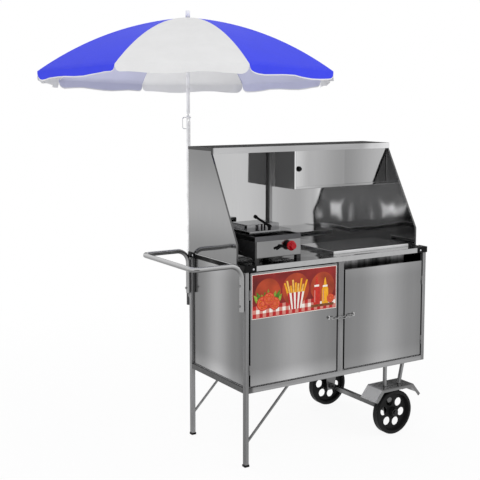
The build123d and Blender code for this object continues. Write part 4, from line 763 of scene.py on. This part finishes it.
print_width, print_height = STICKER_RIGHT - STICKER_LEFT, STICKER_HIGH - STICKER_LOW
BORDER, CHECK, CHECK_ROWS = 0.005, 0.0175, 3
check_columns = round((print_width - 2 * BORDER) / CHECK)
check_width = (print_width - 2 * BORDER) / check_columns
cloth_top = BORDER + CHECK_ROWS * CHECK
ink_box(0, 0, print_width, print_height, "white", 0)
ink_box(BORDER / 2, BORDER / 2, print_width - BORDER / 2, print_height - BORDER / 2, "red", 0.5)
ink_box(BORDER, cloth_top, print_width - BORDER, print_height - BORDER, "field", 1)
for column in range(check_columns):
    for row in range(CHECK_ROWS):
        ink = ("red", "pink", "white")[(column % 2) + (row % 2)]
        ink_box(BORDER + column * check_width, BORDER + row * CHECK,
                BORDER + (column + 1) * check_width, BORDER + (row + 1) * CHECK, ink, 1)
for x, z, radius in ((0.085, 0.108, 0.068), (0.235, 0.112, 0.074), (0.385, 0.108, 0.068)):
    ink_disc(x, z, radius, "glow", 2, 48)

# The box of chips stands in the middle, with its chips fanned above a striped front
BOX_X, BOX_FOOT_HALF, BOX_TOP_HALF, BOX_RISE, STRIPES = 0.235, 0.030, 0.047, 0.075, 8
CHIPS, CHIP_PITCH, CHIP_HALF, CHIP_LEAN, CHIP_TALL, CHIP_UNEVEN = 9, 0.0098, 0.0047, 0.085, 0.062, 0.014
box_foot = BORDER + CHECK
box_top, chip_seat = box_foot + BOX_RISE, box_foot + BOX_RISE * 0.8
for step in range(CHIPS):
    from_middle = step - CHIPS // 2
    x, tall = BOX_X + from_middle * CHIP_PITCH, CHIP_TALL + CHIP_UNEVEN * sin(step * 2.4)
    lean = tall * from_middle * CHIP_LEAN
    ink_shape([(x - CHIP_HALF, chip_seat), (x + CHIP_HALF, chip_seat),
               (x + CHIP_HALF + lean, chip_seat + tall), (x - CHIP_HALF + lean, chip_seat + tall)],
              "chip" if step % 2 else "mustard", 3 + step % 2)
for stripe in range(STRIPES):
    left, right = 2 * stripe / STRIPES - 1, 2 * (stripe + 1) / STRIPES - 1
    ink_shape([(BOX_X + BOX_FOOT_HALF * left, box_foot), (BOX_X + BOX_FOOT_HALF * right, box_foot),
               (BOX_X + BOX_TOP_HALF * right, box_top), (BOX_X + BOX_TOP_HALF * left, box_top)],
              "white" if stripe % 2 else "red", 5)

# Leaves and slices on the left, two bottles on a board on the right
LEAVES, LEAF_LEFT, LEAF_PITCH, LEAF_FOOT, LEAF_FAN = 9, 0.045, 0.0105, 0.060, 0.16
LEAF_LENGTH, LEAF_UNEVEN, LEAF_WIDTH, BOARD_HALF = 0.060, 0.010, 0.011, 0.006
for step in range(LEAVES):
    length, lean = LEAF_LENGTH + LEAF_UNEVEN * sin(step * 2.1), pi / 2 + (LEAVES // 2 - step) * LEAF_FAN
    ink_leaf(LEAF_LEFT + step * LEAF_PITCH, LEAF_FOOT, length, LEAF_WIDTH, lean,
             "leaf" if step % 2 else "pale_leaf", 3 + step % 2)
ink_slice(0.058, 0.066, 0.033, 5)
ink_slice(0.120, 0.060, 0.029, 5)
ink_slice(0.090, 0.084, 0.030, 9)
ink_box(0.320, box_foot - BOARD_HALF, 0.450, box_foot + BOARD_HALF, "brown", 3)
ink_bottle(0.352, box_foot + BOARD_HALF, 0.036, 0.128, "tomato", 4)
ink_bottle(0.400, box_foot + BOARD_HALF, 0.036, 0.120, "mustard", 4)
ink_slice(0.431, box_foot + 0.027, 0.021, 6)
door_sticker = finished(sticker_print, "door_sticker", *inks)
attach(door_sticker, "left_door")

# Hood: two side panels with a folded front lip, a back between them and a folded roof with a deep front
# flange, all of stainless sheet. Their insides are polished to a mirror; the panels' outsides and lips are
# painted darker as shade, and the sheets carry bands of painted reflection, with the roof's top painted dark
# against its bright flange.
dress_sheet("hood_side_panels", ("Z", ((0.0, 0.62), (0.45, 1.0), (1.0, 0.66))), colour=(0.84, 0.84, 0.845),
            roughness=0.06, wave=0.0024, dents=(4, 6, 4), outer_painted_shade=0.42)
# Painted reflection across the hood's back: darker right of its middle and bright at its right end
mirror_shade = ("X", ((0.0, 0.66), (0.25, 0.70), (0.6, 0.46), (0.69, 0.55), (0.78, 1.0), (1.0, 1.0)))
dress_sheet("hood_back", mirror_shade, colour=(0.76, 0.76, 0.765), roughness=0.05, wave=0.0022,
            dents=(6, 4, 4))
# Painted shade on the roof's left edge and a painted highlight toward its right end
roof_shade = ("hood_roof", "X", ((0.0, 0.15), (0.008, 0.2), (0.014, 1.2), (0.4, 0.95), (0.82, 0.95),
                                 (0.9, 1.5), (1.0, 1.9)))
# Painted reflection: the roof's top is painted dark against its lighter upright flange
roof_sheet = steel_finish("roof_sheet", (0.10, 0.10, 0.101), 0.08, (6, 40, 40), 0.08, wave=0.003,
                          bands=[roof_shade], upright_roughness_and_painted_tone=(0.08, 4.2))
dress(roof_sheet, "hood_roof")
for node in ("hood_side_panels", "hood_roof"):
    round_folds(node, "cart")

# Overhead cupboard: a sheet shell under the roof with a lipped front, half closed by a fixed panel and half
# by a door that slides behind the lips and has a black moulded pull. The roof's flange shades its top, as
# painted shade, and the shell and door carry bands of painted reflection.
CUPBOARD_GREY = (0.50, 0.50, 0.503)
top_shade = ("Z", ((0.0, 1.0), (0.955, 1.0), (0.975, 0.3), (1.0, 0.25)))
shell_shade = ("X", ((0.0, 1.8), (0.02, 1.0), (0.5, 0.55), (1.0, 0.95)))
dress_sheet("overhead_cupboard", shell_shade, top_shade, colour=CUPBOARD_GREY, roughness=0.08)
slide_shade = ("X", ((0.0, 1.2), (0.3, 0.85), (1.0, 0.62)))
dress_sheet("overhead_door", slide_shade, top_shade, colour=CUPBOARD_GREY)
dress(black_plastic, "door_pull")
round_folds("overhead_cupboard", "cart")

# Griddle: a black enamelled housing with a stainless front panel, a cast iron plate, a press of bright steel
# hinged at the back, and a moulded grip on the press. The gas valve sits behind the front panel.
black_enamel = plastic_finish("black_enamel", (0.020, 0.020, 0.021), 0.24, 300.0, 0.3)
dress(black_enamel, "griddle_body")
dress_sheet("griddle_front", ("X", ((0.0, 1.0), (0.3, 0.95), (1.0, 1.05))), colour=(0.245, 0.245, 0.247))
cast_iron = steel_finish("cast_iron", (0.10, 0.10, 0.105), 0.32, (220, 220, 220), 0.3)
dress(cast_iron, "griddle_plate")
pressed_steel = steel_finish("pressed_steel", (0.26, 0.26, 0.265), 0.16, (60, 400, 60), 0.14)
dress(pressed_steel, "press_lid")
round_folds("press_lid", "press_lid")
dress(black_plastic, "press_handle", "gas_valve")

# Gas knob: glossy red thermoset, moulded as a round skirt with a fluted grip and a shallow dish in its face.
# It is pushed on the valve's stem.
KNOB_SIDES, KNOB_FLUTES, FLUTE_DEPTH = 96, 8, 0.09
KNOB_PROFILE = ((0.30, 0.0, 0), (0.98, 0.0, 0), (1.0, 0.03, 0), (1.0, 0.22, 0), (0.96, 0.27, 0),
                (0.80, 0.31, 0.4), (0.765, 0.36, 1), (0.70, 0.86, 1), (0.66, 0.95, 0.8), (0.58, 1.0, 0.2),
                (0.34, 1.0, 0), (0.30, 0.96, 0))
red_gloss = plastic_finish("red_gloss", (0.38, 0.004, 0.010), 0.2, 700.0, coat=0.2, gloss=0.15)
knob_low, knob_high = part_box("gas_knob")
knob_radius, knob_depth = (knob_high.x - knob_low.x) / 2, knob_high.y - knob_low.y
knob_seat = Vector((middle_of("gas_knob"), knob_high.y, (knob_low.z + knob_high.z) / 2))


def ring(shape, centre, across, up, radii):
    """A ring of points round a centre in the plane of two directions, one for each radius."""
    turns = [2 * pi * step / len(radii) for step in range(len(radii))]
    return [shape.verts.new(centre + (across * cos(turn) + up * sin(turn)) * radius)
            for turn, radius in zip(turns, radii)]


knob_shape = bmesh.new()
knob_rings = []
flutes = [0.5 - 0.5 * cos(2 * pi * KNOB_FLUTES * step / KNOB_SIDES) for step in range(KNOB_SIDES)]
for reach, share, fluted in KNOB_PROFILE:
    centre = knob_seat - Vector((0, knob_depth * share, 0))
    radii = [knob_radius * (reach - fluted * FLUTE_DEPTH * flute) for flute in flutes]
    knob_rings.append(ring(knob_shape, centre, Vector((1, 0, 0)), Vector((0, 0, 1)), radii))
closed_skin(knob_shape, knob_rings)
gas_knob_cap = finished(knob_shape, "gas_knob_cap", red_gloss)
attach(gas_knob_cap, "gas_knob")
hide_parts("gas_knob")

# Food warmer: a stainless water pan hung in the worktop's opening over a burner, and a loose lid with
# a polished top and rougher grained sides, whose lighter tone is a painted highlight. The pan is dull,
# with strong streaks of lighter and darker tone.
# Painted highlight: the lid's upright sides are painted lighter than its top
lid_sheet = steel_finish("lid_sheet", (0.64, 0.64, 0.643), 0.10, (6, 200, 200), 0.08, wave=0.003,
                         dents=(7, 14, 7), upright_roughness_and_painted_tone=(0.40, 1.4))
dress(lid_sheet, "warmer_lid")
round_folds("warmer_lid", "warmer_lid")
pan_sheet = steel_finish("pan_sheet", (0.20, 0.20, 0.202), 0.30, (24, 24, 1), 1.6)
dress(pan_sheet, "warmer_pan")
dress(mirror_sheet, "warmer_burner")

# Push handle: one length of round stainless tube, polished, bent four times and bolted to the two left legs.
# Its underside is painted darker, as a painted reflection of the legs and the floor's shadow.
HANDLE_RADIUS, HANDLE_POST_BEND, HANDLE_CORNER_BEND = 0.011, 0.060, 0.034
handle_low, handle_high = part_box("push_handle")
post_x, grip_x = handle_high.x - HANDLE_RADIUS, handle_low.x + HANDLE_RADIUS
front_y, rear_y = handle_low.y + HANDLE_RADIUS, handle_high.y - HANDLE_RADIUS
foot_z, grip_z = handle_low.z, handle_high.z - HANDLE_RADIUS
handle_route = arc_route([(post_x, front_y, foot_z), (post_x, front_y, grip_z), (grip_x, front_y, grip_z),
                          (grip_x, rear_y, grip_z), (post_x, rear_y, grip_z), (post_x, rear_y, foot_z)],
                         [HANDLE_POST_BEND, HANDLE_CORNER_BEND, HANDLE_CORNER_BEND, HANDLE_POST_BEND], 14)
polished_tube = steel_finish("polished_tube", (0.50, 0.50, 0.503), 0.12, (120, 120, 120), 0.10, under=0.25)
handle_mesh = bent_tube("push_handle_tube", handle_route, HANDLE_RADIUS)
handle_mesh.materials.append(polished_tube)
push_handle_tube = place_in_scene("push_handle_tube", handle_mesh)
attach(push_handle_tube, "cart")
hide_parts("push_handle")

# Parasol frame: white painted steel poles in a dark steel socket on the rear left leg, a tilting joint with
# a bent wire pin, sprung steel ribs and stretchers painted white, and a moulded crown and runner.
RIB_COUNT = 8
rib_numbers = range(1, RIB_COUNT + 1)
socket_steel = steel_finish("socket_steel", (0.075, 0.075, 0.077), 0.35, (60, 60, 6), 0.30)
dress(socket_steel, "umbrella_socket")
dress(bright_zinc, "tilt_pin")
white_paint = plastic_finish("white_paint", (0.90, 0.90, 0.90), 0.3, 400.0, 0.2)
dress(white_paint, "lower_pole", "upper_pole",
      *[f"{bar}_{k}" for bar in ("rib", "stretcher") for k in rib_numbers])
white_plastic = plastic_finish("white_plastic", (0.90, 0.90, 0.895), 0.35)
dress(white_plastic, "crown", "runner")

# Canopy: eight gores of coated cloth, blue and white in turn, sewn together over the ribs and bound
# with white tape along a hanging valance. Each rib carries the two half gores beside it.
RIB_REACH, CANOPY_RISE, CANOPY_ARCH, ARCH_LENGTH = 0.720, 0.272, 0.049, 1.02
RIB_PIVOT_RADIUS, UNDER_TOP, RIB_DROP = 0.015, 0.0056, 0.0041
VALANCE, VALANCE_ROUND, VALANCE_CLEAR, TAPE = 0.043, 0.030, 0.0006, 0.0055
CLOTH_THICKNESS, CLOTH_SAG, FOLDED_WIDTH = 0.0008, 0.004, 0.90
ROWS, WHITE_GORE = 22, 0

# A ripple is its rise, its waves to a gore, its shift from gore to gore and its start
HEM_RIPPLE, SWING_RIPPLE, CRINKLE = (0.005, 1.7, 2.3, 2.6), (0.006, 4, 1.9, 0), (0.0022, 11, 0.7, 0)

# The hem hangs shorter toward the front left, where the cloth is drawn up
HEM_LIFT, LIFT_TURN = 0.009, radians(32.114)
lifted_side = Vector((-sin(LIFT_TURN), -cos(LIFT_TURN), 0))
joints = {joint["name"]: joint for joint in frame["joints"]}
pivots = [Vector(joints[f"rib_{k}_pivot"]["pos_m"]) for k in rib_numbers]
crown_centre = sum(pivots, Vector()) / RIB_COUNT
head_up = Vector(joints["runner_slide"]["axis"]).normalized()
half_gore = pi / RIB_COUNT
chord_rise = CANOPY_RISE - RIB_DROP + UNDER_TOP
chord = hypot(RIB_REACH, chord_rise)
arch_out, arch_up = chord_rise / chord * CANOPY_ARCH, RIB_REACH / chord * CANOPY_ARCH
gore_edge = 2 * RIB_REACH * sin(half_gore)
gore_steps = [0, 0.004, 0.010, 0.019, 0.032, 0.06, 0.10, 0.15, 0.21, gore_edge / 2]
valance_steps = [0.1, 0.3, 0.55, 0.8, 1 - TAPE / VALANCE, 1.0]


def cloth_finish(name, colour):
    """Coated woven cloth: a fine weave, soft creases and small changes of tone."""
    material, tree, shader = new_material(name)
    place = add_node(tree, "ShaderNodeTexCoord").outputs["UV"]
    weave = add_node(tree, "ShaderNodeTexChecker", Vector=stretched(tree, place, (900, 900, 1)), Scale=1.0)
    crease = noise(tree, place, 9.0, 5.0, 0.6)
    relief = work_out(tree, "MULTIPLY_ADD", weave.outputs["Fac"], 0.04, crease)
    bump = add_node(tree, "ShaderNodeBump", Height=relief, Strength=0.2, Distance=0.004)
    fill(tree, shader, Base_Color=tinted(tree, colour, strayed(tree, crease, 1.0, 0.025)),
         Roughness=0.7, Specular_IOR_Level=0.2, Sheen_Weight=0.03, Sheen_Roughness=0.4, Normal=bump)
    return material


# The insides are painted paler than the outsides, as painted light that shines through the cloth
canopy_cloths = [cloth_finish(name, colour) for name, colour in (
    ("blue_cloth", (0.045, 0.062, 0.80)), ("white_cloth", (0.76, 0.76, 0.765)),
    ("blue_inside", (0.56, 0.57, 0.74)), ("white_inside", (0.79, 0.79, 0.795)))]


def rib_line(share):
    """The cloth over a rib as radius and height from the crown; share runs from crown to tip."""
    bulge = 4 * share * (1 - share)
    radius = RIB_PIVOT_RADIUS + (RIB_REACH - RIB_PIVOT_RADIUS) * share + arch_out * bulge
    return radius, UNDER_TOP - chord_rise * share + arch_up * bulge


def valance_depth(along):
    """How far the valance hangs at a distance from the nearest rib: its lower corners are quarter rounds."""
    inward = max(0, VALANCE_ROUND - along)
    return VALANCE - VALANCE_ROUND + sqrt(VALANCE_ROUND ** 2 - inward ** 2)


def rippled(ripple, along, gore):
    """A ripple's height at a distance along a gore's edge."""
    rise, waves, shift, start = ripple
    return rise * sin(2 * pi * waves * along / gore_edge + gore * shift + start)


def gore_columns(radial, side, gore):
    """Half a gore beside a rib, as columns of places from crown to hem and their marks on the flat cloth."""
    tangent = head_up.cross(radial)
    outward = radial * cos(half_gore) + tangent * side * sin(half_gore)
    to_middle = tangent * side * cos(half_gore) - radial * sin(half_gore)

    def spot(radius, height, across):
        """A place at a rib's radius and height, moved across from the rib, 0, to the gore's middle, 1."""
        return (crown_centre + outward * radius * cos(half_gore) + head_up * height
                - to_middle * radius * sin(half_gore) * (1 - across))

    columns = []
    for step in gore_steps:
        across = step / gore_steps[-1]
        mark = (gore + (side < 0)) * gore_edge + side * step
        line = []
        for row in range(ROWS + 1):
            share = row / ROWS
            radius, height = rib_line(share)
            sag = CLOTH_SAG * sin(pi * share) * (1 - (1 - across) ** 2)
            line.append((spot(radius, height - sag, across), (mark, share * chord)))
        rim, rim_height = rib_line(1)
        along = step if side > 0 else gore_edge - step
        from_corner = min(1, step / VALANCE_ROUND)
        toward = (spot(1, 0, across) - crown_centre).normalized()
        depth = valance_depth(step)
        lift = HEM_LIFT * max(0, toward.dot(lifted_side)) ** 2
        hem = depth - lift + rippled(HEM_RIPPLE, along, gore) * from_corner
        swing = (rippled(SWING_RIPPLE, along, gore) + rippled(CRINKLE, along, gore)) * from_corner
        for part in valance_steps:
            place = spot(rim, rim_height - hem * part, across) + outward * (VALANCE_CLEAR + swing * part)
            line.append((place, (mark, chord + depth * part)))
        columns.append(line)
    return columns


def knot(side, column, row):
    """Names a point of the cloth; above the valance both half gores share those over the rib."""
    return (0 if column == 0 and row <= ROWS else side, column, row)


def canopy_sector(index):
    """The cloth that one rib carries: half a gore on each side, with its share of the valance."""
    radial = (pivots[index] - crown_centre).normalized()
    cloth = bmesh.new()
    uv = cloth.loops.layers.uv.new("cloth")
    knots = {}
    for side in (-1, 1):
        gore = (index + (side > 0)) % RIB_COUNT
        columns = gore_columns(radial, side, gore)
        last_row = len(columns[0]) - 1
        for column, line in enumerate(columns):
            for row, (place, _) in enumerate(line):
                if knot(side, column, row) not in knots:
                    knots[knot(side, column, row)] = cloth.verts.new(place)
        for column in range(len(columns) - 1):
            for row in range(last_row):
                spots = [(column, row), (column, row + 1), (column + 1, row + 1), (column + 1, row)][::side]
                face = cloth.faces.new([knots[knot(side, *spot)] for spot in spots])
                face.smooth = True
                taped = row == last_row - 1
                face.material_index = 1 if taped or gore % 2 == WHITE_GORE else 0
                for loop, (at_column, at_row) in zip(face.loops, spots):
                    loop[uv].uv = columns[at_column][at_row][1]
    for edge in cloth.edges:
        edge.smooth = not edge.is_boundary
    for row in range(ROWS):
        cloth.edges.get((knots[knot(0, 0, row)], knots[knot(0, 0, row + 1)])).smooth = False
    piece = finished(cloth, f"canopy_sector_{index + 1}", *canopy_cloths)
    wall = piece.modifiers.new("cloth_wall", "SOLIDIFY")
    wall.thickness = CLOTH_THICKNESS
    wall.offset = 1.0
    wall.material_offset = 2
    wall.use_even_offset = False
    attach(piece, f"rib_{index + 1}")
    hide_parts("canopy")
    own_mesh(piece)


for index in range(RIB_COUNT):
    canopy_sector(index)

# Finial cap: a blunt moulded cap of white plastic, pushed over the crown's pin from above.
# Its foot holds the middle of the cloth down on the crown.
FINIAL_RADIUS, FINIAL_TAPER, FINIAL_EDGE, FINIAL_COVER, FINIAL_SIDES = 0.0112, 0.0008, 0.003, 0.0003, 32
finial_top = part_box("crown")[1].z + FINIAL_COVER - crown_centre.z
finial_outline = [(FINIAL_RADIUS, UNDER_TOP + CLOTH_THICKNESS / 2)]
for turn in quarter_turn(0, 5):
    finial_outline.append((FINIAL_RADIUS - FINIAL_TAPER - FINIAL_EDGE * (1 - cos(turn)),
                           finial_top - FINIAL_EDGE * (1 - sin(turn))))
finial_across = head_up.orthogonal().normalized()
finial_shape = bmesh.new()
closed_skin(finial_shape, [ring(finial_shape, crown_centre + head_up * height, finial_across,
                                head_up.cross(finial_across), [radius] * FINIAL_SIDES)
                           for radius, height in finial_outline])
finial_cap = finished(finial_shape, "finial_cap", white_plastic)
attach(finial_cap, "umbrella_head")
